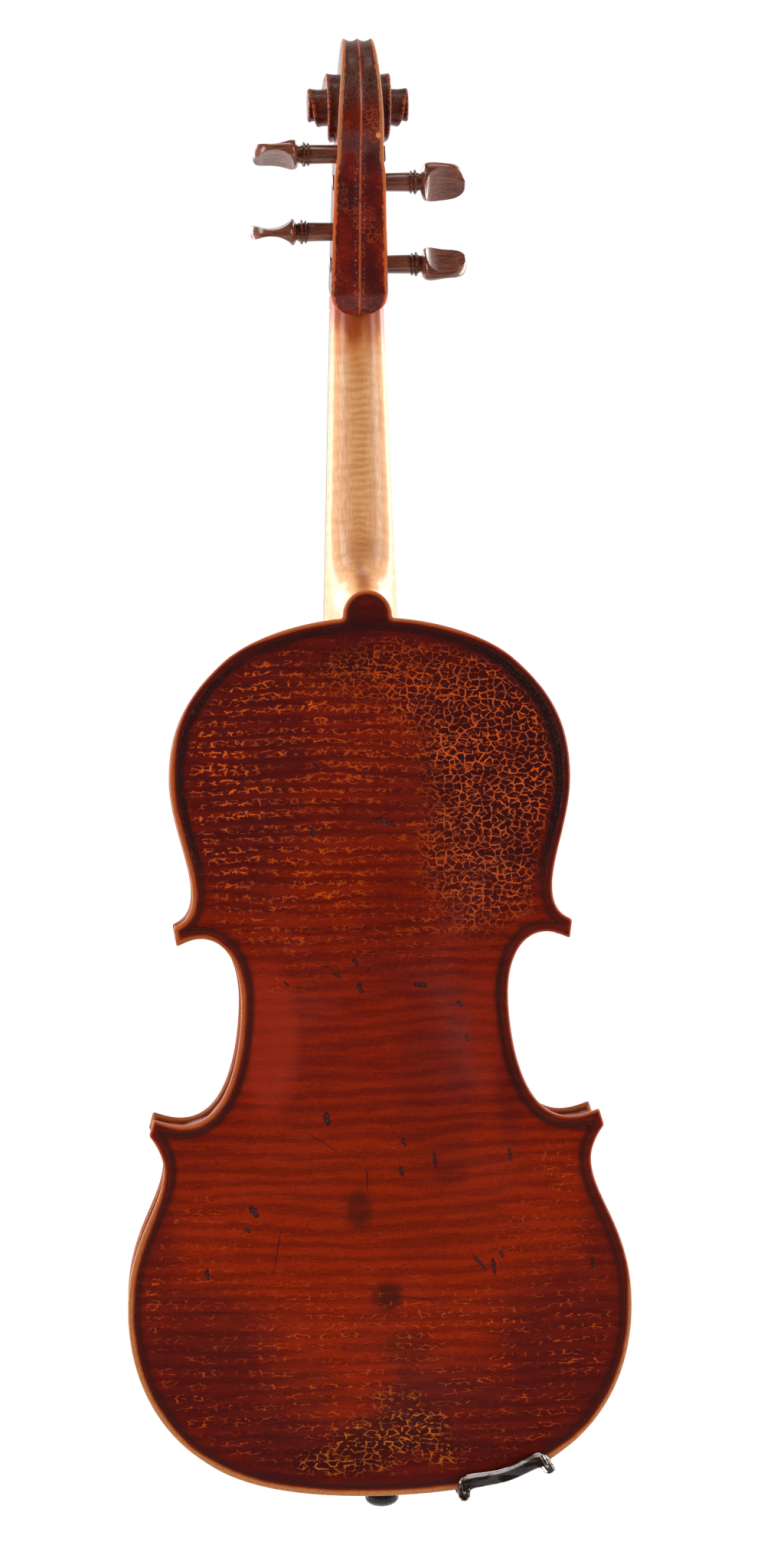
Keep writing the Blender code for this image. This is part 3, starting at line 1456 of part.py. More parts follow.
def make_end_button(parent):
    rib_face = OVERHANG
    radius = BUTTON_DIAMETER / 2
    neck = BUTTON_NECK_DIAMETER / 2
    stem = BUTTON_STEM_DIAMETER / 2
    profile = [(-BUTTON_STEM_LENGTH - rib_face, stem - 0.6), (GAP - rib_face, stem),
               (GAP - rib_face, neck + 1.0), (1.3 - rib_face, neck + 1.2), (2.0 - rib_face, neck),
               (3.9 - rib_face, neck)]
    reach = BUTTON_REACH - rib_face
    dome = ((0.0, 0.86), (0.16, 0.97), (0.4, 1.0), (0.62, 0.93), (0.8, 0.74), (0.93, 0.45), (1.0, 0.15))
    profile += [(mix(4.6 - rib_face, reach, share), radius * width) for share, width in dome]
    centre = (0, button_centre_y(), 0)
    piece("end_button", turned(profile, centre, (0, 0, -1), 16), "ebony", parent)


def stem_cutter_shape():
    stem = BUTTON_STEM_DIAMETER / 2 + GAP
    centre = (0, button_centre_y(), 0)
    return turned([(-BUTTON_STEM_LENGTH - OVERHANG - 1, stem - 0.4), (4, stem)], centre, (0, 0, -1), 16)


def make_tailgut(parent):
    """One loop of cord from the tailpiece over the saddle and round the end button."""
    wire = TAILGUT_DIAMETER / 2
    middle = button_centre_y()
    groove = BUTTON_NECK_DIAMETER / 2 + GAP + wire
    depth = OVERHANG - 2.95
    top = TOP_EDGE + SADDLE_RISE + GAP + wire
    start = tail_point(3.4, -2.0, TAILPIECE_THICK * 0.55)
    half = [start, (4.2, top + 0.1, SADDLE_DEPTH / 2 + 1.2), (4.6, top - 0.2, 1.2), (5.0, top - 1.9, -0.9),
            (5.4, TOP_EDGE, -1.4), (groove * 0.98, middle + 12, depth - 0.6), (groove, middle + 5, depth)]
    loop = []
    for k in range(1, 10):
        angle = math.pi * k / 10
        loop.append((groove * math.cos(angle), middle - groove * math.sin(angle), depth))
    route = half + [(groove, middle, depth)] + loop + [(-groove, middle, depth)]
    route += [(-x, y, z) for x, y, z in reversed(half)]
    tube_piece("tailgut", route, TAILGUT_DIAMETER, "gut", parent)


# Chin rest and clamp

def chin_ring(share, height):
    """One oval ring of the chin rest at a share of its size."""
    ring = []
    for k in range(24):
        angle = 2 * math.pi * k / 24
        a = CHIN_LENGTH / 2 * share * math.cos(angle)
        b = CHIN_BREADTH / 2 * share * math.sin(angle)
        x = CHIN_X + a * math.cos(CHIN_TURN) - b * math.sin(CHIN_TURN)
        z = CHIN_Z + a * math.sin(CHIN_TURN) + b * math.cos(CHIN_TURN)
        lift = 2.2 * math.sin(angle) * share
        ring.append((x, TOP_EDGE + CHIN_RISE + height + lift, z))
    return ring


def edge_path(inset, low_x, high_x):
    """A stretch of the lower edge, moved in by inset, between two places given by their x."""
    path = spline(lower_bout()[:13], 3)
    total = lengths(path)
    marks = [next(d for p, d in zip(path, total) if p[0] >= x) for x in (low_x, high_x)]
    return offset_path(cut_path(path, *marks), inset)


def band_half(distance, length, width):
    """Half the band's width at a distance along it: a round lobe at each end and a waist between."""
    radius = width / 2
    reach = min(distance, length - distance)
    if reach < radius:
        return max(math.sqrt(radius ** 2 - (radius - reach) ** 2), radius * 0.3)
    return mix(radius, radius * BAND_WAIST, smooth((reach - radius) / width))


def band_shape(inset, width, low, high, margin=BAND_MARGIN):
    path = edge_path(inset + width / 2, LEG_X[0] - margin, LEG_X[1] + margin)
    total = lengths(path)
    ends = [width * share for share in (0.0, 0.08, 0.24, 0.5)]
    straight = total[-1] - 1.6 * width
    between = [width * 0.8 + straight * i / BAND_STEPS for i in range(BAND_STEPS + 1)]
    marks = ends + between + [total[-1] - d for d in reversed(ends)]
    middle = [along(path, total, d) for d in marks]
    halves = [band_half(d, total[-1], width) for d in marks]
    return strip(*[offset_path(middle, lambda i, k=k: k * halves[i]) for k in (-1, 1)], low, high)


def make_chin_rest(parent):
    dish = CHIN_DISH
    rings = [chin_ring(0.12, -dish - 3.2), chin_ring(0.5, -dish - 2.2), chin_ring(0.86, -4.6),
             chin_ring(0.97, -3.0), chin_ring(1.0, -1.2), chin_ring(0.97, 0), chin_ring(0.9, -0.4),
             chin_ring(0.7, -dish * 0.5), chin_ring(0.4, -dish * 0.88), chin_ring(0.12, -dish)]
    rest = piece("chin_rest", loft(rings), "ebony", parent)
    foot_low = cork_top() + GAP + BAND_THICK + GAP
    foot_high = TOP_EDGE + CHIN_RISE - CHIN_DISH + 0.5
    shape = band_shape(BAND_INSET, BAND_WIDTH + 1.5, foot_low, foot_high, BAND_MARGIN - 1.5)
    boolean(rest, cutter("chin_rest_foot", shape, parent), "UNION")


def cork_top():
    return TOP_EDGE + GAP + CORK_THICK


def leg_axis(x):
    """Where a clamp leg stands, just outside the plates' edge."""
    path = edge_path(0, x - 3, x + 3)
    middle = len(path) // 2
    normal = normals(path)[middle]
    return tuple(p - n * CLAMP_REACH for p, n in zip(path[middle], normal)), normal


def leg_shape(x, level, tip):
    """A rod that leaves the band, turns along Y beside the edge and ends at tip."""
    axis, normal = leg_axis(x)
    turn = math.copysign(ROD_BEND, tip - level)

    def spot(inward, y):
        return (axis[0] + normal[0] * inward, y, axis[1] + normal[1] * inward)

    path = [spot(CLAMP_REACH + BAND_INSET + BAND_WIDTH / 3, level), spot(ROD_BEND, level)]
    for angle in (30, 60, 90):
        a = math.radians(angle)
        path.append(spot(ROD_BEND * (1 - math.sin(a)), level + turn * (1 - math.cos(a))))
    path.append(spot(0, tip))
    return rod_along(path, Vector((-normal[1], 0, normal[0])))


def rod_along(path, across):
    """A round rod along a path that stays in the plane square to across."""
    sides = 10
    rings = []
    for i, point in enumerate(path):
        ahead = Vector(path[min(i + 1, len(path) - 1)]) - Vector(path[max(i - 1, 0)])
        other = ahead.normalized().cross(across).normalized()
        ring = []
        for k in range(sides):
            angle = 2 * math.pi * k / sides
            offset = (across * math.cos(angle) + other * math.sin(angle)) * ROD_DIAMETER / 2
            ring.append(tuple(Vector(point) + offset))
        rings.append(ring)
    return loft(rings)


def barrel_span():
    middle = (GLUE_BACK + GLUE_TOP) / 2
    return middle - BARREL_LENGTH / 2, middle + BARREL_LENGTH / 2


def make_clamp(root):
    corked = cork_top()
    piece("chin_rest_cork", band_shape(1.6, BAND_WIDTH, TOP_EDGE + GAP, corked, BAND_MARGIN - 1.0),
          "cork", root)
    low, high = barrel_span()
    band_low = corked + GAP
    bracket = piece("clamp_bracket", band_shape(BAND_INSET, BAND_WIDTH, band_low, band_low + BAND_THICK),
                    "steel", root)
    foot_slide = at_empty("clamp_foot_slide", (0, 0, 0), root)
    liner_low = -GAP - LINER_THICK
    foot_high = liner_low - GAP
    piece("clamp_foot_liner", band_shape(1.0, BAND_WIDTH - 0.8, liner_low, -GAP, BAND_MARGIN - 1.0),
          "cork", foot_slide)
    foot = piece("clamp_foot", band_shape(0.4, BAND_WIDTH, foot_high - BAND_THICK, foot_high),
                 "steel", foot_slide)
    for number, x in enumerate(LEG_X, 1):
        rod = leg_shape(x, band_low + BAND_THICK / 2, high - ROD_GRIP)
        boolean(bracket, cutter(f"bracket_rod_{number}", rod, root), "UNION")
        rod = leg_shape(x, foot_high - BAND_THICK / 2, low + ROD_GRIP)
        boolean(foot, cutter(f"foot_rod_{number}", rod, foot_slide), "UNION")
        make_barrel(number, x, root)


def make_barrel(number, x, root):
    """A turnbuckle tube with four key holes round its middle."""
    (x, z), _ = leg_axis(x)
    origin = (x, sum(barrel_span()) / 2, z)
    pivot = at_empty(f"barrel_axis_{number}", origin, root)
    outer = BARREL_DIAMETER / 2
    bore = BARREL_BORE / 2
    half = BARREL_LENGTH / 2
    profile = [(-half, bore), (-half, outer - 0.6), (-half + 0.6, outer), (half - 0.6, outer),
               (half, outer - 0.6), (half, bore)]
    shape = turned(profile, origin, (0, 1, 0), 12, closed=True)
    barrel = piece(f"clamp_barrel_{number}", shape, "steel", pivot, origin)
    hole = [(-BARREL_DIAMETER, KEY_HOLE_DIAMETER / 2), (BARREL_DIAMETER, KEY_HOLE_DIAMETER / 2)]
    for k in range(2):
        angle = math.pi / 2 * k + 0.3
        shape = turned(hole, origin, (math.cos(angle), 0, math.sin(angle)), 6)
        boolean(barrel, cutter(f"barrel_{number}_key_hole_{k}", shape, root))


def main():
    clear_scene()
    hang = neck_point(0, HANG_S, EYE_T)
    root = at_empty("hanging_point", [-c for c in hang])
    root_cutter = cutter("neck_mortise", root_cutter_shape(), root)
    stem_cutter = cutter("button_hole", stem_cutter_shape(), root)
    saddle_notch = cutter("saddle_notch", saddle_notch_shape(), root)
    make_plates(root, [root_cutter, saddle_notch])
    make_ribs(root, root_cutter, stem_cutter)
    make_blocks(root, root_cutter, stem_cutter)
    make_linings(root)
    make_inside(root)
    make_neck(root)
    make_board(root)
    make_nut(root)
    make_saddle(root)
    bridge = piece("bridge", bridge_shape(), "bridge_maple", root)
    boolean(bridge, cutter("bridge_heart", heart_shape(), root))
    make_tailpiece(root)
    make_tailgut(root)
    make_end_button(root)
    make_pegs(root)
    make_strings(root)
    make_chin_rest(root)
    make_clamp(root)


main()
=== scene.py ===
"""A viola seen from its back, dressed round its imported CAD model.

Lengths are millimetres in the body's own axes: x to the bass side, y from the back to the front,
z up from the lower end. ORIGIN moves them to the frame's axes.
"""
import json
import math

import bmesh
import bpy
import numpy as np
from mathutils import Matrix, Vector


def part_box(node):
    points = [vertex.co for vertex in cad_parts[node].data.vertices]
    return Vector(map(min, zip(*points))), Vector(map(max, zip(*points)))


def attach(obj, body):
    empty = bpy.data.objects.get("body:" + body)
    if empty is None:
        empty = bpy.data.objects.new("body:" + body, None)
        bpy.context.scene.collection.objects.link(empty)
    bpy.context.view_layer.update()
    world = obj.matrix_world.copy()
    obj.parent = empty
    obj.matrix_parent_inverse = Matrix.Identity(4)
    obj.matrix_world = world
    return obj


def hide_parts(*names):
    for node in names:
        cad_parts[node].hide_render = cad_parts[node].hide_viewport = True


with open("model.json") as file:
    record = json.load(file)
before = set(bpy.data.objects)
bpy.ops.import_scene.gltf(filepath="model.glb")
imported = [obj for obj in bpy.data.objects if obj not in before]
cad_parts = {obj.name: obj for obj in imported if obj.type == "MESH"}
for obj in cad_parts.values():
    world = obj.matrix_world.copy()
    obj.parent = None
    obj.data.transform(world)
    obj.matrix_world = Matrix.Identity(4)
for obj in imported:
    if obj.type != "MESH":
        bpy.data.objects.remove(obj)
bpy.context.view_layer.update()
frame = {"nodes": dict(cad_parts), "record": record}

NODES = frame["nodes"]
BODY = "instrument"
MM = 0.001

# Driving dimensions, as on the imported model

BODY_LENGTH = 410.0
LOWER_WIDTH = 235.6
WAIST_WIDTH = 124.8
UPPER_WIDTH = 187.4
BUTTON_WIDTH = 23.0
BUTTON_HEIGHT = 12.6
EDGE_THICK = 4.2
CHANNEL_THICK = 3.4
CHANNEL_AT = 4.9
BEAD_ROUND = 1.5
BACK_ARCH = 16.0
TOP_ARCH = 17.5
ARCH_MARGIN = 13.5
PLATE_THIN = 3.0
PLATE_THICK = 4.5

LOWEST, HIGHEST = (np.array(corner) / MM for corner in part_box("back_plate"))
ORIGIN = np.array((0.0, HIGHEST[1] - EDGE_THICK, LOWEST[2]))
GLUE_BACK = EDGE_THICK
GLUE_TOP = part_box("top_plate")[0][1] / MM - ORIGIN[1]


# Small geometry

def mix(a, b, u):
    return a + (b - a) * u


def smooth(u):
    u = np.clip(u, 0.0, 1.0)
    return u * u * (3 - 2 * u)


def cubics(segments, steps=24):
    """Points along joined cubic curves, each given by its start, two handles and its end."""
    u = np.linspace(0, 1, steps, endpoint=False)[:, None]
    weights = ((1 - u) ** 3, 3 * u * (1 - u) ** 2, 3 * u * u * (1 - u), u ** 3)
    parts = [sum(w * np.array(p, float) for w, p in zip(weights, s)) for s in segments]
    return np.vstack(parts + [np.array([segments[-1][-1]], float)])


def through(keys, steps=12):
    """A smooth curve through the keys."""
    keys = np.array(keys, float)
    padded = np.vstack([keys[:1], keys, keys[-1:]])
    segments = []
    for a, b, c, d in zip(padded, padded[1:], padded[2:], padded[3:]):
        segments.append((b, b + (c - a) / 6, c - (d - b) / 6, c))
    return cubics(segments, steps)


def lengths(path):
    steps = np.linalg.norm(np.diff(path, axis=0), axis=1)
    return np.concatenate([[0.0], np.cumsum(steps)])


def evenly(path, spacing):
    """The path again with points an equal distance apart."""
    total = lengths(path)
    count = max(int(round(total[-1] / spacing)), 2)
    marks = np.linspace(0, total[-1], count + 1)
    return np.column_stack([np.interp(marks, total, path[:, k]) for k in range(path.shape[1])])


def mirrored(path):
    flipped = path[::-1].copy()
    flipped[:, 0] *= -1
    return flipped


def path_distance(points, path):
    """The distance from each point to a closed path."""
    nearest = np.empty(len(points), int)
    for start in range(0, len(points), 4000):
        block = points[start:start + 4000]
        apart = ((block[:, None, :] - path[None, :, :]) ** 2).sum(2)
        nearest[start:start + 4000] = apart.argmin(1)
    best = np.full(len(points), np.inf)
    for step in (-1, 0):
        a = path[(nearest + step) % len(path)]
        b = path[(nearest + step + 1) % len(path)]
        along = ((points - a) * (b - a)).sum(1) / np.maximum(((b - a) ** 2).sum(1), 1e-9)
        foot = a + (b - a) * np.clip(along, 0, 1)[:, None]
        best = np.minimum(best, np.linalg.norm(points - foot, axis=1))
    return best


# Mesh making

def to_world(points):
    return (np.asarray(points, float) + ORIGIN) * MM


def new_mesh(name, points, faces, sharp=40.0):
    """A smooth-shaded mesh from body millimetres, with edges kept sharp over an angle."""
    data = bpy.data.meshes.new(name)
    data.from_pydata(to_world(points).tolist(), [], faces)
    data.update()
    finish_shading(data, sharp)
    return data


def finish_shading(data, sharp):
    data.polygons.foreach_set("use_smooth", [True] * len(data.polygons))
    data.set_sharp_from_angle(angle=math.radians(sharp))


def new_piece(name, data, look, node, body=BODY, more=()):
    """Puts a mesh in the scene in place of a CAD node, riding on its body."""
    thing = bpy.data.objects.new(name, data)
    bpy.context.scene.collection.objects.link(thing)
    data.materials.clear()
    for each in (look, *more):
        data.materials.append(each)
    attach(thing, body)
    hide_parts(node)
    return thing


def grid_faces(rows, columns, wrap):
    """Quads between rows of points; wrap joins each row's ends."""
    last = columns if wrap else columns - 1
    return [(r * columns + c, r * columns + (c + 1) % columns,
             (r + 1) * columns + (c + 1) % columns, (r + 1) * columns + c)
            for r in range(rows - 1) for c in range(last)]


def set_values(data, name, values):
    layer = data.attributes.new(name, "FLOAT", "POINT")
    layer.data.foreach_set("value", np.asarray(values, np.float32))


def apply_modifiers(thing):
    """Turns an object's modifiers into its mesh."""
    graph = bpy.context.evaluated_depsgraph_get()
    done = bpy.data.meshes.new_from_object(thing.evaluated_get(graph))
    thing.modifiers.clear()
    old = thing.data
    thing.data = done
    bpy.data.meshes.remove(old)


# The body's outline: half of it as cubic curves

LOWER_BOUT = (
    ((0, 0), (60, 0), (77.3, 13.8), (85.9, 20)),
    ((85.9, 20), (104.1, 33.2), (LOWER_WIDTH / 2, 56.5), (LOWER_WIDTH / 2, 88)),
    ((LOWER_WIDTH / 2, 88), (LOWER_WIDTH / 2, 122.7), (99.9, 137), (99.9, 155)),
    ((99.9, 155), (99.9, 156.7), (100.4, 162.9), (106.4, 170.5)),
)
WAIST = (
    ((104.2, 178.1), (100.2, 176.6), (95.5, 175), (90.5, 175)),
    ((90.5, 175), (65.1, 175), (WAIST_WIDTH / 2, 220.6), (WAIST_WIDTH / 2, 232)),
    ((WAIST_WIDTH / 2, 232), (WAIST_WIDTH / 2, 249), (69, 261.6), (81, 261.6)),
    ((81, 261.6), (85, 261.6), (88.5, 259.6), (92, 258.3)),
)
UPPER_BOUT = (
    ((93.3, 267.1), (88.3, 269.1), (84.2, 272.5), (84.2, 282.5)),
    ((84.2, 282.5), (84.2, 296.4), (UPPER_WIDTH / 2, 315.8), (UPPER_WIDTH / 2, 335)),
    ((UPPER_WIDTH / 2, 335), (UPPER_WIDTH / 2, 360.6), (84.2, 375.6), (67.8, 390.1)),
    ((67.8, 390.1), (57.2, 399.4), (32.5, BODY_LENGTH), (0, BODY_LENGTH)),
)
POINT_SPACING = 1.1


def half_outline(with_button):
    """The bass half from the lower end to the upper end, its corners a little worn."""
    parts = [evenly(cubics(bout), POINT_SPACING) for bout in (LOWER_BOUT, WAIST, UPPER_BOUT)]
    faces = [evenly(np.array((a[-1], b[0])), POINT_SPACING)[1:-1] for a, b in zip(parts, parts[1:])]
    half = np.vstack([parts[0], faces[0], parts[1], faces[1], parts[2]])
    if with_button:
        radius = BUTTON_WIDTH / 2
        half = half[(half[:, 1] < BODY_LENGTH - 1) | (half[:, 0] > radius + 1.5)]
        centre = BODY_LENGTH + BUTTON_HEIGHT - radius
        turn = np.linspace(0, math.pi / 2, 18)
        arc = np.column_stack([radius * np.cos(turn), centre + radius * np.sin(turn)])
        root = evenly(cubics([(half[-1], half[-1] - (1.6, 0), (radius, BODY_LENGTH - 0.4), arc[0])]), 0.7)
        half = np.vstack([half, root[1:-1], arc])
    worn = half.copy()
    worn[1:-1] = half[1:-1] * 0.6 + (half[:-2] + half[2:]) * 0.2
    return worn


def arch_line():
    """Where the arching starts: a smooth line that passes by the corners."""
    m = ARCH_MARGIN
    keys = [(0, m), (85.9 - m * 0.62, 20 + m * 0.85), (LOWER_WIDTH / 2 - m, 88),
            (99.9 - m * 1.3, 155 - m), (WAIST_WIDTH / 2 - m * 0.75, 232), (84.2 - m * 1.1, 282.5 + m * 0.2),
            (UPPER_WIDTH / 2 - m, 335), (67.8 - m * 0.6, 390.1 - m), (0, BODY_LENGTH - m)]
    ends = [(-keys[1][0], keys[1][1])], [(-keys[-2][0], keys[-2][1])]
    steps = 40
    return through(ends[0] + keys + ends[1], steps)[steps:-steps]


ARCH_LINE = arch_line()


def swell(x, z):
    """The arching's share of its full height: 1 in the middle, 0 at the arch line."""
    v = np.abs(z - BODY_LENGTH / 2) / (BODY_LENGTH / 2 - ARCH_MARGIN)
    u = np.abs(x) / np.maximum(np.interp(z, ARCH_LINE[:, 1], ARCH_LINE[:, 0]), 0.01)
    inside = (u < 1) & (v < 1)
    share = (1 - np.clip(v, 0, 1) ** 3.5) ** 2 * (1 - np.clip(u, 0, 1) ** 2.3) ** 2
    return np.where(inside, share, 0.0)


def edge_height(edge):
    """The outer face near the edge: a rounded bead that falls to the channel."""
    bead = EDGE_THICK - BEAD_ROUND + BEAD_ROUND * np.sqrt(
        np.clip(1 - (1 - edge / BEAD_ROUND) ** 2, 0, 1))
    fall = smooth((edge - BEAD_ROUND) / (CHANNEL_AT - BEAD_ROUND))
    return np.where(edge < BEAD_ROUND, bead, mix(EDGE_THICK, CHANNEL_THICK, fall))


# Plates

EDGE_STEPS = (0.0, 0.12, 0.35, 0.7, 1.1, 1.5, 2.1, 2.7, 3.3, 3.9, 4.5, 5.2, 6.2, 7.4)
ARCH_STEPS = 30


def plate_plan(half):
    """Plan places of a half plate's rings, from its edge to its middle line."""
    nearest = np.array([((ARCH_LINE - (p[0], min(p[1], BODY_LENGTH))) ** 2).sum(1).argmin() for p in half], float)
    reach = 26
    padded = np.concatenate([np.full(reach, nearest[0]), nearest, np.full(reach, nearest[-1])])
    eased = np.convolve(padded, np.ones(2 * reach + 1) / (2 * reach + 1), "valid")
    eased[0], eased[-1] = nearest[0], nearest[-1]
    places = np.arange(len(ARCH_LINE))
    targets = np.column_stack([np.interp(eased, places, ARCH_LINE[:, k]) for k in (0, 1)])
    away = np.linalg.norm(targets - half, axis=1)[:, None]
    rings = [mix(half, targets, np.minimum(step / away, 0.7)) for step in EDGE_STEPS]
    rings += [mix(rings[-1], targets, share) for share in (0.25, 0.5, 0.75, 1.0)]
    spine = np.clip(targets[:, 1], 70.0, BODY_LENGTH - 68.0)
    for k in range(1, ARCH_STEPS + 1):
        share = k / ARCH_STEPS
        rings.append(np.column_stack([targets[:, 0] * (1 - share), mix(targets[:, 1], spine, share)]))
    return np.array(rings)


def plate_mesh(name, half, glue, side, arch):
    """Both faces of a plate; side is -1 for the back and 1 for the top."""
    outline = np.vstack([half, mirrored(half)[1:-1]])
    plan = plate_plan(half)
    rows, columns = plan.shape[:2]
    flat = plan.reshape(-1, 2)
    edge = path_distance(flat, outline)
    edge[:columns] = 0.0
    share = swell(flat[:, 0], flat[:, 1])
    outer = edge_height(edge) + (arch - CHANNEL_THICK) * share
    wall = np.where(edge < ARCH_MARGIN, 0.0, 1.0) * smooth((edge - 10) / 6)
    inner = np.maximum(wall * (CHANNEL_THICK - mix(PLATE_THIN, PLATE_THICK, np.sqrt(share))), 0.0)
    inner = inner + (arch - CHANNEL_THICK) * share
    lower = smooth(edge / 1.0)
    low_edge = np.column_stack([flat, (1 - lower) * 1.0 + inner])
    points = np.vstack([np.column_stack([flat, outer]), low_edge])
    count = len(flat)
    grid = grid_faces(rows, columns, False)
    faces = grid + [tuple(i + count for i in reversed(f)) for f in grid]
    faces += [(c, c + count, c + 1 + count, c + 1) for c in range(columns - 1)]
    inner_faces = ([0] * len(grid) + [1] * len(grid) + [0] * (columns - 1)) * 2
    both = np.vstack([points, points * (-1, 1, 1)])
    total = len(points)
    faces += [tuple(i + total for i in reversed(f)) for f in faces]
    placed = np.column_stack([both[:, 0], glue + side * both[:, 2], both[:, 1]])
    if side > 0:
        faces = [tuple(reversed(f)) for f in faces]
    return placed, faces, inner_faces, np.tile(edge, 4)


def seam_closed(data):
    """Joins the two halves along the middle."""
    work = bmesh.new()
    work.from_mesh(data)
    bmesh.ops.remove_doubles(work, verts=work.verts, dist=0.02 * MM)
    bmesh.ops.dissolve_degenerate(work, dist=0.002 * MM, edges=work.edges)
    work.to_mesh(data)
    work.free()
    finish_shading(data, 55)


def rim_distance(placed, edge):
    """The distance from the edge that the purfling follows: past the button it runs straight on."""
    near = (np.abs(placed[:, 0]) < BUTTON_WIDTH / 2 + 2.5) & (placed[:, 2] > BODY_LENGTH - 12)
    return np.where(near, np.minimum(BODY_LENGTH - placed[:, 2], 12.0), edge)


def patches(placed, table):
    """The strongest of soft oval patches at each point: middle x and z, half width and height, strength."""
    best = np.zeros(len(placed))
    for x, z, wide, high, strength in table:
        away = np.hypot((placed[:, 0] - x) / wide, (placed[:, 2] - z) / high)
        best = np.maximum(best, strength * smooth((1.35 - away) / 0.7))
    return best


def make_back(looks):
    placed, faces, inner, edge = plate_mesh("back_plate", half_outline(True), GLUE_BACK, -1, BACK_ARCH)
    data = new_mesh("back_plate", placed, faces)
    data.polygons.foreach_set("material_index", inner)
    set_values(data, "edge", edge)
    set_values(data, "rim", rim_distance(placed, edge))
    for field, table in BACK_FIELDS.items():
        set_values(data, field, patches(placed, table))
    seam_closed(data)
    new_piece("back_plate_carved", data, looks["back"], "back_plate", more=[looks["pale_wood"]])


# Where the back's varnish changes, and where light and shade are painted on it: 'dark' is the upper bout's darker
# varnish together with painted shade at the lower edges and on the middle right, and 'lit' is painted light on the
# waist's sides. Each row gives x, z, half width, half height and strength of soft patches
BACK_FIELDS = {
    "dark": ((66, 345, 46, 66, 1.0), (-66, 345, 42, 64, 0.8), (0, 400, 90, 20, 0.9), (0, 350, 90, 50, 0.42),
             (-92, 54, 44, 46, 0.8), (92, 54, 42, 50, 0.8), (0, 12, 90, 20, 0.85), (-62, 20, 44, 28, 0.75),
             (10, 262, 18, 26, 0.45), (48, 30, 60, 32, 0.7), (-112, 110, 18, 50, 0.6), (112, 110, 18, 50, 0.6),
             (62, 205, 8, 40, 0.5), (28, 200, 20, 50, 0.3)),
    "lit": ((-50, 215, 14, 34, 1.0), (50, 216, 12, 30, 0.5), (0, 222, 50, 40, 0.2)),
    "low": ((0, 110, 130, 70, 1.0),),
    "smudge": ((-10, 135, 6, 9.5, 0.6), (2.7, 94, 6.5, 7, 0.75), (12, 70, 12, 8, 0.45), (-34, 52, 16, 10, 0.3),
               (33, 150, 8, 5, 0.3), (12, 58, 5, 4, 0.4)),
    "netted": ((60, 345, 34, 50, 1.0), (52, 298, 28, 34, 0.85), (14, 384, 36, 14, 0.6), (36, 372, 26, 18, 0.9)),
    "rowed": ((-68, 335, 24, 58, 1.0), (-50, 366, 40, 26, 0.8), (-20, 384, 50, 12, 0.6), (-44, 300, 46, 44, 0.55),
              (10, 340, 44, 40, 0.45), (40, 280, 44, 20, 0.4), (84, 150, 10, 16, 0.4), (-108, 96, 6, 20, 0.7)),
    "dashed": ((0, 335, 110, 84, 0.8), (0, 54, 130, 50, 0.9), (84, 110, 30, 40, 0.6), (-84, 110, 30, 40, 0.6),
               (0, 200, 300, 300, 0.12), (-46, 262, 30, 26, 0.9), (70, 62, 44, 36, 1.0), (-70, 40, 34, 20, 1.0)),
    "gilt": ((-8, 24, 16, 12, 0.9), (12, 31, 18, 11, 0.9), (-33, 17, 9, 6, 0.85), (26, 20, 10, 6, 0.5),
             (-18, 15, 14, 6, 0.8), (8, 46, 12, 6, 0.5)),
    "grime": ((70, 350, 50, 56, 0.9), (-80, 350, 26, 60, 0.7), (0, 400, 60, 14, 0.55), (0, 200, 200, 70, 0.45),
              (0, 60, 300, 110, 0.18)),
    "bare": ((0, 0, 130, 46, 1.0), (-118, 70, 40, 80, 0.9), (-100, 300, 40, 60, 0.7), (0, 408, 60, 16, 0.5),
             (-60, 200, 40, 60, 0.7), (110, 60, 30, 40, 0.6)),
}


# CAD pieces again with smooth shading

BODY_OF = {node: body for body, nodes in frame["record"]["behaviour"]["bodies"].items() for node in nodes}


def node_mesh(node):
    """A CAD node's surface as one closed bmesh with its flat faces whole, in metres."""
    source = NODES[node].data
    points = [tuple(v.co) for v in source.vertices]
    faces = [tuple(p.vertices) for p in source.polygons]
    plain = bpy.data.meshes.new(node)
    plain.from_pydata(points, [], faces)
    work = bmesh.new()
    work.from_mesh(plain)
    bpy.data.meshes.remove(plain)
    bmesh.ops.remove_doubles(work, verts=work.verts, dist=0.005 * MM)
    bmesh.ops.dissolve_limit(work, angle_limit=math.radians(0.7), verts=work.verts, edges=work.edges)
    return work


def smoothed(node, look, sharp=35.0, rounded=0.0):
    """A CAD piece with smooth shading and, where asked, its sharp edges rounded."""
    work = node_mesh(node)
    if rounded:
        edges = [e for e in work.edges if e.is_manifold and e.calc_face_angle() > math.radians(sharp)]
        bmesh.ops.bevel(work, geom=edges, offset=rounded * MM, segments=3, profile=0.6, affect="EDGES",
                        clamp_overlap=True, loop_slide=True)
    bmesh.ops.triangulate(work, faces=[f for f in work.faces if len(f.verts) > 4])
    data = bpy.data.meshes.new(f"{node}_smooth")
    work.to_mesh(data)
    work.free()
    finish_shading(data, sharp)
    return new_piece(f"{node}_smooth", data, look, node, BODY_OF[node])


# Materials

def body_vector(g):
    """The shading point in body millimetres."""
    coords = g.node("ShaderNodeTexCoord").outputs["Object"]
    return g.node("ShaderNodeMapping", {"Vector": coords, "Scale": (1000, 1000, 1000),
                                        "Location": tuple(-ORIGIN)}).outputs[0]


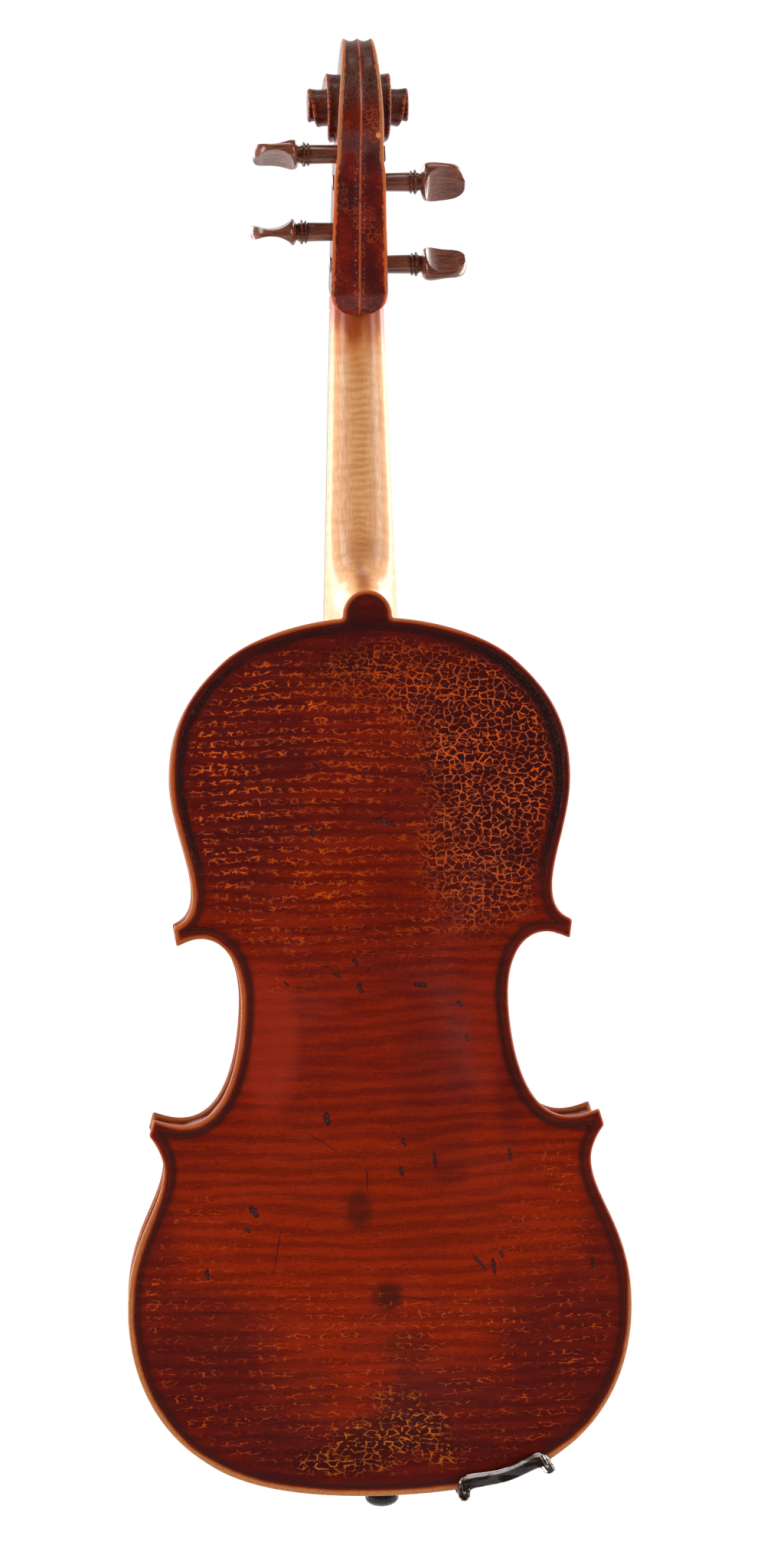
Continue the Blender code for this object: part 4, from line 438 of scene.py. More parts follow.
class Graph:
    """A material's node tree with short calls for the nodes used here."""

    def __init__(self, name):
        self.material = bpy.data.materials.new(name)
        self.material.use_nodes = True
        self.tree = self.material.node_tree
        self.tree.nodes.clear()
        self.place = body_vector(self)
        split = self.node("ShaderNodeSeparateXYZ", {0: self.place})
        self.x, self.y, self.z = split.outputs

    def node(self, kind, inputs=None, **settings):
        made = self.tree.nodes.new(kind)
        for key, value in settings.items():
            setattr(made, key, value)
        for key, value in (inputs or {}).items():
            self.put(made.inputs[key], value)
        return made

    def put(self, socket, value):
        if isinstance(value, bpy.types.NodeSocket):
            self.tree.links.new(value, socket)
        else:
            socket.default_value = value

    def math(self, operation, a, b=0.0, clamp=False):
        made = self.node("ShaderNodeMath", {0: a, 1: b}, operation=operation, use_clamp=clamp)
        return made.outputs[0]

    def times(self, *values):
        product = values[0]
        for value in values[1:]:
            product = self.math("MULTIPLY", product, value)
        return product

    def plus(self, *values):
        total = values[0]
        for value in values[1:]:
            total = self.math("ADD", total, value)
        return total

    def most(self, *values):
        best = values[0]
        for value in values[1:]:
            best = self.math("MAXIMUM", best, value)
        return best

    def minus(self, a, b):
        return self.math("SUBTRACT", a, b)

    def mix(self, factor, a, b, blend="MIX"):
        """Two colours mixed; colours are linear red, green and blue."""
        made = self.node("ShaderNodeMix", {"Factor": factor}, data_type="RGBA", blend_type=blend)
        for socket, value in ((6, a), (7, b)):
            self.put(made.inputs[socket], (*value, 1.0) if isinstance(value, tuple) else value)
        return made.outputs[2]

    def ramp(self, value, low, high, first=0.0, last=1.0):
        """Eases from first to last as value goes from low to high; low may be the larger."""
        if low > high:
            low, high, first, last = high, low, last, first
        made = self.node("ShaderNodeMapRange", {"Value": value, "From Min": low, "From Max": high,
                                                "To Min": first, "To Max": last})
        made.interpolation_type = "SMOOTHSTEP"
        return made.outputs[0]

    def scaled(self, x, y, z, offset=0.0):
        """Body millimetres stretched along each axis."""
        return self.node("ShaderNodeMapping", {"Vector": self.place, "Scale": (x, y, z),
                                               "Location": (offset, offset, offset)}).outputs[0]

    def noise(self, vector, scale=1.0, detail=3.0, rough=0.5, distortion=0.0):
        made = self.node("ShaderNodeTexNoise", {"Vector": vector, "Scale": scale, "Detail": detail,
                                                "Roughness": rough, "Distortion": distortion})
        return made.outputs["Fac"]

    def band(self, value, low, high, soft):
        """1 between two values, with soft ends."""
        return self.times(self.ramp(value, low - soft, low + soft), self.ramp(value, high + soft, high - soft))

    def oval(self, x, z, wide, high, turn=0.0, vector=None):
        """The distance from an oval's middle, seen from the front or back: 1 on the oval."""
        made = self.node("ShaderNodeMapping", {"Vector": vector or self.place, "Location": (x, 0, z),
                                               "Rotation": (0, math.radians(turn), 0),
                                               "Scale": (wide, 1e6, high)}, vector_type="TEXTURE")
        return self.node("ShaderNodeVectorMath", {0: made.outputs[0]}, operation="LENGTH").outputs["Value"]

    def blob(self, x, z, wide, high, turn=0.0, soft=0.35, vector=None):
        """A soft oval patch seen from the front or back."""
        return self.ramp(self.oval(x, z, wide, high, turn, vector), 1 + soft, 1 - soft)

    def wavered(self, size, reach, seed=0.0):
        """The shading point moved about by a noise of the given size and reach, in millimetres."""
        wander = self.node("ShaderNodeTexNoise", {"Vector": self.scaled(1 / size, 1 / size, 1 / size, seed),
                                                  "Scale": 1.0, "Detail": 2.0}).outputs["Color"]
        centred = self.node("ShaderNodeVectorMath", {0: wander, 1: (0.5, 0.5, 0.5)}, operation="SUBTRACT")
        moved = self.node("ShaderNodeVectorMath", {0: centred.outputs[0], 1: (reach, reach, reach)},
                          operation="MULTIPLY")
        total = self.node("ShaderNodeVectorMath", {0: moved.outputs[0], 1: self.place}, operation="ADD")
        return total.outputs[0]

    def cells(self, wide, high, order, line, waver=(4.0, 2.0), seed=0.0, deep=False):
        """The lines between cells of a size in millimetres: 1 on a line, 0 inside a cell.

        An order of 1 lays the cells out in rows and 0 scatters them. A deep pattern goes through the
        piece in every direction, and the others are drawn on the plane of the back.
        """
        moved = self.wavered(waver[0], waver[1], seed)
        split = self.node("ShaderNodeSeparateXYZ", {0: moved})
        x = self.math("DIVIDE", split.outputs[0], wide)
        z = self.math("DIVIDE", split.outputs[2], high)
        y = self.math("DIVIDE", split.outputs[1], high) if deep else 0.0
        spot = self.node("ShaderNodeCombineXYZ", {0: x, 1: z, 2: y})
        made = self.node("ShaderNodeTexVoronoi", feature="DISTANCE_TO_EDGE",
                         voronoi_dimensions="3D" if deep else "2D")
        self.put(made.inputs["Vector"], spot.outputs[0])
        self.put(made.inputs["Scale"], 1.0)
        self.put(made.inputs["Randomness"], 1.0 - order)
        away = self.math("MULTIPLY", made.outputs["Distance"], high)
        uneven = self.ramp(self.noise(self.scaled(0.28, 0.28, 0.28, seed + 7.0), detail=2.0), 0.3, 0.7, 0.35, 1.8)
        thin = self.math("MULTIPLY", uneven, line)
        near = self.math("SUBTRACT", 1.0, self.math("DIVIDE", away, thin), clamp=True)
        return self.math("MULTIPLY", near, 1.7, clamp=True)

    def value(self, name):
        return self.node("ShaderNodeAttribute", attribute_name=name).outputs["Fac"]

    def finish(self, colour, roughness, height=None, **sockets):
        """The shader; height is in millimetres."""
        shader = self.node("ShaderNodeBsdfPrincipled", {"Roughness": roughness})
        self.put(shader.inputs["Base Color"], (*colour, 1.0) if isinstance(colour, tuple) else colour)
        for key, value in sockets.items():
            self.put(shader.inputs[key.replace("_", " ")], value)
        if height is not None:
            made = self.node("ShaderNodeBump", {"Height": height, "Distance": MM, "Strength": 1.0})
            self.put(shader.inputs["Normal"], made.outputs[0])
            if sockets.get("Coat_Weight"):
                self.put(shader.inputs["Coat Normal"], made.outputs[0])
        out = self.node("ShaderNodeOutputMaterial")
        self.tree.links.new(shader.outputs[0], out.inputs[0])
        return self.material


RED_BROWN = (0.165, 0.0075, 0.0010)
BRIGHT_FLAME = (0.33, 0.0185, 0.0016)
DARK_FLAME = (0.070, 0.0036, 0.0016)
MAROON = (0.044, 0.0038, 0.0048)
DEEP_MAROON = (0.022, 0.0026, 0.0036)
ORANGE_BROWN = (0.27, 0.0165, 0.0010)
CRACK_ORANGE = (0.70, 0.092, 0.006)
CRACK_GOLD = (0.68, 0.165, 0.012)
DIRT = (0.010, 0.0042, 0.0042)
WORN_GOLD = (0.50, 0.185, 0.056)
WORN_ORANGE = (0.44, 0.092, 0.017)
WORN_RED = (0.28, 0.032, 0.005)


def flame(g, period, steadiness, seed=0.0):
    """Flamed maple's bands across the piece, from 0 to 1."""
    wander = g.noise(g.scaled(steadiness, steadiness, 0.03, seed), detail=5.0, rough=0.55)
    turns = g.plus(g.times(g.z, 2 * math.pi / period), g.times(wander, 20.0))
    wave = g.plus(g.times(g.math("SINE", turns), 0.5), 0.5)
    broad = g.noise(g.scaled(steadiness * 1.6, steadiness * 1.6, 1.1 / period, seed + 4), detail=2.0)
    fine = g.noise(g.scaled(steadiness * 4.5, steadiness * 4.5, 4.5 / period, seed + 9), detail=3.0, rough=0.6)
    thin = g.noise(g.scaled(steadiness * 9, steadiness * 9, 13 / period, seed + 13), detail=2.0)
    return g.plus(g.times(wave, 0.38), g.times(g.ramp(broad, 0.34, 0.66), 0.20),
                  g.times(g.ramp(fine, 0.3, 0.7), 0.22), g.times(g.ramp(thin, 0.3, 0.7), 0.20))


# Marks on the back: x, z, half length, half width and turn in degrees, measured on the photograph
DENTS = (
    (-9.6, 250.0, 2.0, 0.9, 60), (-18.3, 244.0, 1.6, 0.7, 20), (-7.4, 237.5, 2.4, 1.0, 75),
    (-22.5, 248.0, 1.5, 0.6, 10), (-41.3, 240.0, 1.4, 0.6, 40), (20.5, 238.5, 3.0, 1.1, 10),
    (39.4, 229.0, 1.8, 0.8, 50), (42.2, 213.0, 1.6, 0.7, 70), (-24.0, 177.5, 2.6, 1.4, 80),
    (-58.5, 134.5, 3.0, 1.3, 55), (-61.6, 126.0, 1.8, 0.9, 20), (-80.5, 106.0, 2.2, 0.9, 80),
    (46.0, 108.5, 4.6, 0.7, 50), (56.3, 112.0, 1.8, 0.8, 65), (52.5, 106.5, 3.4, 0.9, 80),
    (99.6, 106.0, 2.4, 0.6, 85), (61.5, 158.0, 2.6, 0.6, 85), (11.5, 166.0, 2.0, 0.8, 70),
    (10.0, 152.5, 2.2, 0.8, 80), (25.8, 157.0, 3.2, 0.8, 84), (-27.6, 310.5, 2.6, 0.8, 82),
    (6.5, 314.5, 4.5, 0.6, 25), (-25.5, 341.0, 1.4, 0.6, 60),
)
SCRATCHES = (
    (16.0, 93.0, 9.5, 0.25, 8), (-48.0, 117.0, 9.0, 0.25, 100), (-25.5, 166.0, 8.0, 0.22, 32),
    (-76.0, 88.0, 10.0, 0.2, 2), (4.0, 317.0, 6.0, 0.25, 150), (-6.0, 149.0, 5.0, 0.25, 88),
)


def marks(g, table, vector):
    """How near the closest oval mark of a table is: under 1 inside it."""
    nearest = 9.0
    for x, z, long, wide, turn in table:
        nearest = g.math("MINIMUM", nearest, g.oval(x, z, long, wide, turn, vector))
    return nearest


def edge_dress(g, colour):
    """The dark channel, the purfling in it and the worn bead outside; all of it follows the mesh's fields."""
    edge, rim = g.value("edge"), g.value("rim")
    uneven = g.noise(g.scaled(0.11, 0.11, 0.11, 3.0), detail=4.0, rough=0.6)
    shift = g.times(g.minus(uneven, 0.5), 2.6)
    colour = g.mix(g.times(g.band(edge, 1.5, 5.2, 0.9), 0.72), colour, (0.070, 0.0085, 0.0055))
    dirt = g.times(g.ramp(g.plus(rim, shift), 7.9, 5.6), g.ramp(g.plus(edge, shift), 2.8, 4.3), g.value("grime"))
    colour = g.mix(dirt, colour, DIRT)
    black = g.most(g.band(rim, 4.45, 4.72, 0.12), g.band(rim, 5.42, 5.72, 0.12))
    pale = g.band(rim, 4.9, 5.25, 0.12)
    glints = g.ramp(g.noise(g.scaled(0.5, 0.5, 0.5, 5.0), detail=3.0), 0.56, 0.66)
    colour = g.mix(g.times(pale, g.plus(g.times(glints, 0.5), 0.4)), colour, (0.050, 0.019, 0.012))
    colour = g.mix(g.times(black, 0.9), colour, (0.006, 0.003, 0.003))
    patchy = g.noise(g.scaled(0.08, 0.08, 0.1, 8.0), detail=5.0, rough=0.6)
    flecks = g.noise(g.scaled(0.7, 0.7, 0.9, 18.0), detail=3.0)
    within = g.minus(g.plus(edge, g.times(g.minus(patchy, 0.5), 1.3)), g.plus(g.times(g.value("bare"), 2.0), 1.0))
    low = g.ramp(g.z, 150, 60)
    worn = g.mix(low, WORN_ORANGE, WORN_GOLD)
    worn = g.mix(g.ramp(flecks, 0.45, 0.68, 0.0, 0.6), worn, (0.30, 0.085, 0.022))
    worn = g.mix(g.ramp(within, -1.2, -0.1), worn, WORN_RED)
    bare = g.ramp(within, 0.45, -0.35)
    return g.mix(bare, colour, worn), black, bare


def crackle(g):
    """The craquelure's lines, each kind only where its soft patches are."""
    broken = g.ramp(g.noise(g.scaled(0.30, 0.30, 0.55, 2.0), detail=1.0), 0.42, 0.50)
    holes = g.ramp(g.noise(g.scaled(0.36, 0.36, 0.5, 15.0), detail=1.0), 0.36, 0.46)
    zones = g.ramp(g.noise(g.scaled(0.05, 0.05, 0.07, 6.0), detail=4.0, rough=0.62), 0.36, 0.60)
    sway = g.noise(g.scaled(0.014, 0.014, 0.05, 21.0), detail=4.0, rough=0.6)
    turns = g.plus(g.times(g.z, 2 * math.pi / 5.4), g.times(sway, 16.0))
    in_row = g.ramp(g.math("SINE", turns), -0.75, 0.35)
    netted = g.times(g.cells(3.7, 3.2, 0.0, 0.29, (1.6, 1.6)), holes, g.value("netted"))
    rowed = g.times(g.cells(5.2, 2.7, 0.12, 0.27, (1.7, 1.9), 11.0), broken, in_row, g.value("rowed"))
    dashed = g.times(g.cells(5.6, 2.0, 0.1, 0.16, (2.0, 1.7), 23.0), broken, in_row, g.value("dashed"))
    gilt = g.times(g.cells(4.4, 2.9, 0.12, 0.27, (1.8, 1.8), 31.0), broken, g.value("gilt"))
    return netted, rowed, g.times(dashed, zones), gilt, zones


def back_varnish():
    g = Graph("back_varnish")
    bands = flame(g, 7.0, 0.010)
    bands = g.ramp(bands, 0.24, 0.76)
    colour = g.mix(bands, DARK_FLAME, BRIGHT_FLAME)
    even = g.mix(g.value("low"), RED_BROWN, ORANGE_BROWN)
    colour = g.mix(0.56, colour, even)
    pores = g.noise(g.scaled(0.9, 0.9, 2.4), detail=3.0, rough=0.65)
    colour = g.mix(g.ramp(pores, 0.5, 0.66, 0.0, 0.5), colour, MAROON)
    colour = g.mix(g.ramp(pores, 0.46, 0.34, 0.0, 0.35), colour, BRIGHT_FLAME)
    clouds = g.noise(g.scaled(0.03, 0.03, 0.05, 4.0), detail=4.0, rough=0.6)
    # Darker maroon from the dark field: the upper bout's own darker varnish, and painted shade toward the lower edges
    # and on the middle right.
    dark = g.times(g.value("dark"), g.ramp(clouds, 0.25, 0.6, 0.6, 1.0))
    colour = g.mix(g.times(dark, 0.88), colour, MAROON)
    # Painted light: the waist's sides turn a brighter red, as if lit from the side.
    colour = g.mix(g.times(g.value("lit"), 0.45), colour, (0.40, 0.028, 0.010))
    colour = g.mix(g.value("smudge"), colour, (0.035, 0.006, 0.003))

    netted, rowed, dashed, gilt, zones = crackle(g)
    inland = g.ramp(g.value("rim"), 7.0, 11.0)
    blotches = g.times(g.most(g.value("netted"), g.value("gilt")), inland, 0.6)
    colour = g.mix(blotches, colour, DEEP_MAROON)
    lines = g.times(g.most(g.times(netted, g.plus(g.times(zones, 0.5), 0.5)), g.times(rowed, g.plus(zones, 0.2)),
                           g.times(dashed, 0.6)), inland)
    colour = g.mix(g.math("MULTIPLY", lines, 1.0, True), colour, CRACK_ORANGE)
    gilt = g.times(gilt, g.plus(g.times(zones, 0.7), 0.3), inland)
    colour = g.mix(gilt, colour, CRACK_GOLD)

    moved = g.wavered(1.5, 2.2)
    dents = marks(g, DENTS, moved)
    colour = g.mix(g.ramp(dents, 1.35, 0.95, 0.0, 0.85), colour, (0.012, 0.006, 0.008))
    colour = g.mix(g.times(g.band(dents, 0.35, 0.62, 0.1), g.ramp(pores, 0.42, 0.5), 0.6), colour, (0.10, 0.06, 0.065))
    scratches = marks(g, SCRATCHES, g.wavered(5.0, 0.9))
    colour = g.mix(g.ramp(scratches, 1.5, 0.8, 0.0, 0.75), colour, (0.02, 0.006, 0.006))

    colour, black, worn = edge_dress(g, colour)
    ripple = g.noise(g.scaled(0.16, 0.16, 0.3), detail=3.0)
    cuts = g.plus(g.times(g.most(netted, rowed), -0.10), g.times(black, -0.05), g.times(ripple, 0.10))
    rough = g.plus(g.ramp(clouds, 0.3, 0.7, 0.20, 0.32), g.times(worn, 0.16))
    return g.finish(colour, rough, cuts, Specular_IOR_Level=0.15, Coat_Weight=0.08, Coat_Roughness=0.07)


def top_varnish():
    """Spruce with its straight grain under a worn orange varnish."""
    g = Graph("top_varnish")
    wander = g.plus(g.x, g.times(g.noise(g.scaled(0.05, 0.05, 0.006), detail=2.0), 1.6))
    ring = g.node("ShaderNodeCombineXYZ", {0: g.times(wander, 0.8), 1: g.times(g.z, 0.004)}).outputs[0]
    grain = g.noise(ring, detail=2.0, rough=0.4)
    colour = g.mix(g.ramp(grain, 0.38, 0.62), (0.36, 0.085, 0.014), (0.17, 0.026, 0.006))
    clouds = g.noise(g.scaled(0.03, 0.03, 0.03, 4.0), detail=4.0)
    colour = g.mix(g.ramp(clouds, 0.4, 0.7, 0.0, 0.6), colour, (0.10, 0.012, 0.005))
    centre = g.blob(0, 190, 40, 60)
    colour = g.mix(g.times(centre, 0.35), colour, (0.46, 0.15, 0.03))
    cracks = g.times(g.cells(5.0, 3.6, 0.2, 0.3, (4.0, 2.2), 5.0), g.ramp(clouds, 0.42, 0.6))
    colour = g.mix(g.times(cracks, 0.34), colour, (0.5, 0.13, 0.02))
    colour, black, worn = edge_dress(g, colour)
    height = g.plus(g.times(grain, 0.06), g.times(cracks, -0.08), g.times(black, -0.1))
    rough = g.plus(g.ramp(clouds, 0.3, 0.7, 0.24, 0.36), g.times(worn, 0.14))
    return g.finish(colour, rough, height, Specular_IOR_Level=0.35, Coat_Weight=0.2, Coat_Roughness=0.12)


def rib_varnish():
    g = Graph("rib_varnish")
    slant = g.node("ShaderNodeMapping", {"Vector": g.place, "Scale": (0.16, 0.02, 0.16),
                                         "Rotation": (0.2, 0, 0)}).outputs[0]
    bands = g.noise(slant, detail=3.0)
    colour = g.mix(g.ramp(bands, 0.35, 0.65), (0.24, 0.022, 0.006), (0.075, 0.007, 0.005))
    patchy = g.ramp(g.noise(g.scaled(0.04, 0.04, 0.04)), 0.48, 0.66)
    cracks = g.times(g.cells(3.6, 2.6, 0.1, 0.19, (2.0, 1.6), deep=True), patchy)
    colour = g.mix(g.times(cracks, 0.42), colour, CRACK_ORANGE)
    return g.finish(colour, 0.27, g.times(cracks, -0.08), Specular_IOR_Level=0.35, Coat_Weight=0.2,
                    Coat_Roughness=0.1)


def head_varnish():
    """Dark maroon varnish, chipped beside the spine and worn to gold along the edges of the scroll."""
    g = Graph("head_varnish")
    clouds = g.noise(g.scaled(0.09, 0.09, 0.06, 2.0), detail=4.0)
    flecks = g.noise(g.scaled(0.8, 0.8, 0.8, 12.0), detail=3.0)
    colour = g.mix(g.ramp(clouds, 0.35, 0.65), (0.20, 0.0125, 0.0055), (0.072, 0.0060, 0.0050))
    colour = g.mix(g.ramp(flecks, 0.5, 0.64, 0.0, 0.4), colour, (0.026, 0.005, 0.005))
    zones = g.ramp(g.noise(g.scaled(0.12, 0.12, 0.09, 9.0), detail=3.0), 0.46, 0.6)
    chipped = g.most(g.times(zones, 0.5), g.blob(5.5, 637, 3.2, 9, -8, 0.4))
    nets = g.times(g.cells(2.6, 1.9, 0.1, 0.17, (2.0, 1.5), 3.0, True), chipped)
    colour = g.mix(g.times(nets, 0.85), colour, (0.38, 0.062, 0.010))
    chip = g.blob(8.3, 631, 1.5, 1.1, 20, 0.12, g.wavered(1.5, 1.2))
    colour = g.mix(chip, colour, (0.80, 0.26, 0.075))

    outward_x = g.math("ABSOLUTE", g.x)
    dashes = g.ramp(g.noise(g.scaled(1.9, 1.9, 0.75, 14.0), detail=2.0), 0.60, 0.66)
    beside = g.times(g.band(outward_x, 1.0, 2.6, 0.5), g.ramp(g.z, BODY_LENGTH + 232, BODY_LENGTH + 205))
    colour = g.mix(g.times(dashes, beside, 0.75), colour, (0.42, 0.26, 0.23))
    volute = g.ramp(outward_x, 12.3, 12.9)
    colour = g.mix(g.times(volute, g.ramp(flecks, 0.44, 0.34)), colour, (0.36, 0.042, 0.008))

    top = g.ramp(g.z, BODY_LENGTH + 225, BODY_LENGTH + 245)
    wrinkles = g.times(g.cells(2.0, 2.2, 0.0, 0.36, (2.0, 1.4), 17.0, True), top)
    colour = g.mix(g.times(top, 0.7), colour, (0.045, 0.013, 0.008))
    colour = g.mix(g.times(wrinkles, 0.5), colour, (0.13, 0.042, 0.020))

    uneven = g.noise(g.scaled(0.5, 0.5, 0.35, 5.0), detail=3.0)
    spine = g.times(g.value("spine"), g.ramp(uneven, 0.30, 0.46))
    colour = g.mix(g.times(spine, 0.9), colour, (0.52, 0.080, 0.010))
    high = g.ramp(g.z, BODY_LENGTH + 190, BODY_LENGTH + 225)
    reach = g.plus(g.value("worn"), g.times(g.minus(uneven, 0.5), 1.1))
    worn = g.ramp(g.minus(reach, g.ramp(high, 0.0, 1.0, 0.62, 0.47)), -0.12, 0.12)
    gold = g.mix(high, (0.62, 0.105, 0.011), (0.44, 0.135, 0.032))
    gold = g.mix(volute, gold, g.mix(g.ramp(flecks, 0.42, 0.56), (0.40, 0.070, 0.014), (0.10, 0.012, 0.006)))
    colour = g.mix(g.times(worn, 0.92), colour, gold)
    height = g.plus(g.times(nets, -0.06), g.times(wrinkles, -0.09), g.times(clouds, 0.15), g.times(dashes, beside, -0.08))
    rough = g.plus(g.ramp(clouds, 0.3, 0.7, 0.2, 0.3), g.times(worn, 0.12), g.times(top, 0.16))
    return g.finish(colour, rough, height, Specular_IOR_Level=0.18, Coat_Weight=0.08, Coat_Roughness=0.1)


def bare_maple():
    """The neck's oiled wood: faint flame, fine pores, its sides painted pale as painted light, varnish fading out
    below the head, dark by the heel.
    """
    g = Graph("bare_maple")
    pores = g.noise(g.scaled(1.3, 1.3, 0.12), detail=4.0, rough=0.65)
    bands = flame(g, 6.5, 0.03, 3.0)
    # Very pale wood wherever the middle band below doesn't cover: painted light of the side lamps on the neck's
    # rounded sides.
    colour = g.mix(g.ramp(pores, 0.35, 0.68), (0.96, 0.55, 0.290), (0.80, 0.39, 0.175))
    colour = g.mix(g.times(g.ramp(bands, 0.45, 0.75), 0.3), colour, (0.62, 0.25, 0.08))
    # A darker golden tone down the middle, which leaves the sides pale as painted light; the grime noise only makes
    # the band uneven here.
    middle = g.band(g.x, -4.5, 4.5, 4.0)
    grime = g.noise(g.scaled(0.09, 0.09, 0.05, 6.0), detail=3.0)
    narrow = g.ramp(flame(g, 3.4, 0.05, 30.0), 0.42, 0.62)
    middle_tone = g.mix(narrow, (0.58, 0.245, 0.070), (0.76, 0.345, 0.120))
    colour = g.mix(g.times(middle, g.ramp(grime, 0.25, 0.6, 0.5, 0.85)), colour, middle_tone)
    heel = g.most(g.blob(-0.5, BODY_LENGTH + 20, 3.2, 10, 0, 0.8, g.wavered(9, 6)),
                  g.times(g.blob(0, BODY_LENGTH + 33, 9, 7, 0, 0.8, g.wavered(9, 6)), 0.6))
    colour = g.mix(g.times(heel, 0.85), colour, (0.34, 0.095, 0.024))
    drips = g.plus(g.z, g.times(grime, 22), g.times(g.noise(g.scaled(0.25, 0.25, 0.06, 2.0), detail=3.0), 14),
                   g.times(g.band(g.x, -3, 3, 8), 14.0))
    stain = g.ramp(drips, BODY_LENGTH + 135, BODY_LENGTH + 158)
    colour = g.mix(g.times(stain, 0.75), colour, (0.66, 0.19, 0.036))
    deep = g.ramp(drips, BODY_LENGTH + 150, BODY_LENGTH + 165)
    colour = g.mix(g.times(deep, 0.9), colour, (0.33, 0.040, 0.005))
    return g.finish(colour, g.ramp(pores, 0.3, 0.7, 0.34, 0.46), g.times(pores, 0.03), Specular_IOR_Level=0.25,
                    Coat_Weight=0.22, Coat_Roughness=0.09)


def plain_wood(name, light, dark, roughness, along=(0.6, 0.6, 0.03), relief=0.05, **sockets):
    """Straight-grained wood, from a light and a dark colour; along gives the grain's stretch."""
    g = Graph(name)
    grain = g.noise(g.scaled(*along), detail=5.0, rough=0.6)
    broad = g.noise(g.scaled(*[a * 0.25 for a in along], 4.0), detail=2.0)
    colour = g.mix(g.ramp(grain, 0.33, 0.67), light, dark)
    colour = g.mix(g.ramp(broad, 0.4, 0.7, 0.0, 0.45), colour, dark)
    rough = g.ramp(grain, 0.3, 0.7, roughness * 0.85, roughness * 1.25)
    return g.finish(colour, rough, g.times(grain, relief), **sockets)


def rosewood():
    """The pegs: red-brown wood with dark streaks along them, turned and polished."""
    g = Graph("rosewood")
    streaks = g.noise(g.scaled(0.05, 0.75, 0.75), detail=5.0, rough=0.62, distortion=0.4)
    pores = g.noise(g.scaled(0.25, 3.2, 3.2, 4.0), detail=2.0)
    colour = g.mix(g.ramp(streaks, 0.34, 0.66), (0.31, 0.082, 0.035), (0.085, 0.018, 0.009))
    colour = g.mix(g.ramp(pores, 0.56, 0.68, 0.0, 0.6), colour, (0.022, 0.007, 0.005))
    return g.finish(colour, g.ramp(streaks, 0.3, 0.7, 0.22, 0.30), g.times(pores, -0.02),
                    Coat_Weight=0.2, Coat_Roughness=0.12)


def metal(name, bright, dim, roughness):
    """Polished metal whose colour holds a painted reflection of darker and warmer places of the room, with faint
    scratches.
    """
    g = Graph(name)
    scratches = g.noise(g.scaled(0.2, 1.6, 1.6), detail=3.0, rough=0.7)
    reflected_room = g.noise(g.scaled(0.11, 0.11, 0.30, 3.0), detail=2.0, distortion=0.6)
    # Painted reflection: patches of the colour go dim and warm, standing in for the dark room mirrored in the steel.
    tinted = g.mix(g.ramp(reflected_room, 0.40, 0.56), dim, bright)
    rough = g.ramp(scratches, 0.35, 0.7, roughness * 0.8, roughness * 1.4)
    return g.finish(tinted, rough, g.times(scratches, 0.006), Metallic=1.0)


def wound_metal(name, colour):
    """A string's flat metal wrap, in fine turns along it."""
    g = Graph(name)
    turns = g.node("ShaderNodeTexWave", {"Vector": g.scaled(0, 0, 1), "Scale": 2.4}, bands_direction="Z")
    return g.finish(colour, 0.34, g.times(turns.outputs["Fac"], 0.02), Metallic=1.0)


def cork():
    g = Graph("cork")
    cells = g.cells(1.1, 1.1, 0.0, 0.16, (1.0, 0.6), deep=True)
    specks = g.noise(g.scaled(0.9, 0.9, 0.9), detail=3.0)
    colour = g.mix(g.ramp(specks, 0.42, 0.66), (0.46, 0.29, 0.15), (0.20, 0.10, 0.045))
    colour = g.mix(g.times(cells, 0.4), colour, (0.12, 0.06, 0.03))
    return g.finish(colour, 0.85, g.times(cells, -0.12))


def ebony(name="ebony", roughness=0.24, **sockets):
    return plain_wood(name, (0.010, 0.008, 0.008), (0.026, 0.017, 0.013), roughness, (0.9, 0.9, 0.05), 0.015,
                      Specular_IOR_Level=0.3, **sockets)


def make_looks():
    return {
        "varnished_maple": rib_varnish(),
        "varnished_spruce": top_varnish(),
        "neck_maple": bare_maple(),
        "pale_wood": plain_wood("pale_wood", (0.62, 0.45, 0.25), (0.5, 0.33, 0.16), 0.7),
        "ebony": ebony(),
        "bridge_maple": plain_wood("bridge_maple", (0.66, 0.42, 0.20), (0.46, 0.25, 0.10), 0.42, (0.25, 1.6, 1.2)),
        "rosewood": rosewood(),
        "string_steel": wound_metal("string_steel", (0.62, 0.61, 0.60)),
        "tailgut_cord": plain_wood("tailgut_cord", (0.012, 0.012, 0.013), (0.03, 0.03, 0.03), 0.4),
        "cork": cork(),
        # The clamp's dim warm colour is a painted reflection of the room.
        "clamp_chrome": metal("clamp_chrome", (0.36, 0.33, 0.32), (0.12, 0.068, 0.050), 0.08),
    }


# Neck

OVERSTAND = 8.5
NECK_LENGTH = 149.0
NECK_SLOPE = math.radians(6.4)
NECK_THICK_NUT = 12.6
NECK_THICK_HEEL = 15.0
ROOT_DEPTH = 7.0
BOARD_LENGTH = 310.0
BOARD_NUT_WIDTH = 25.5
BOARD_END_WIDTH = 46.0
TOP_EDGE = GLUE_TOP + EDGE_THICK
NUT_Y = TOP_EDGE + OVERSTAND - NECK_LENGTH * math.sin(NECK_SLOPE)
NUT_Z = BODY_LENGTH + NECK_LENGTH * math.cos(NECK_SLOPE)
SEAM = 0.3


def neck_point(x, s, t):
    """A point of the neck's sloping frame: s along it from the nut to the scroll, t out of its face."""
    return (x, NUT_Y - s * math.sin(NECK_SLOPE) + t * math.cos(NECK_SLOPE),
            NUT_Z + s * math.cos(NECK_SLOPE) + t * math.sin(NECK_SLOPE))


def board_half(s):
    return mix(BOARD_NUT_WIDTH, BOARD_END_WIDTH, min(max(-s / BOARD_LENGTH, 0), 1)) / 2


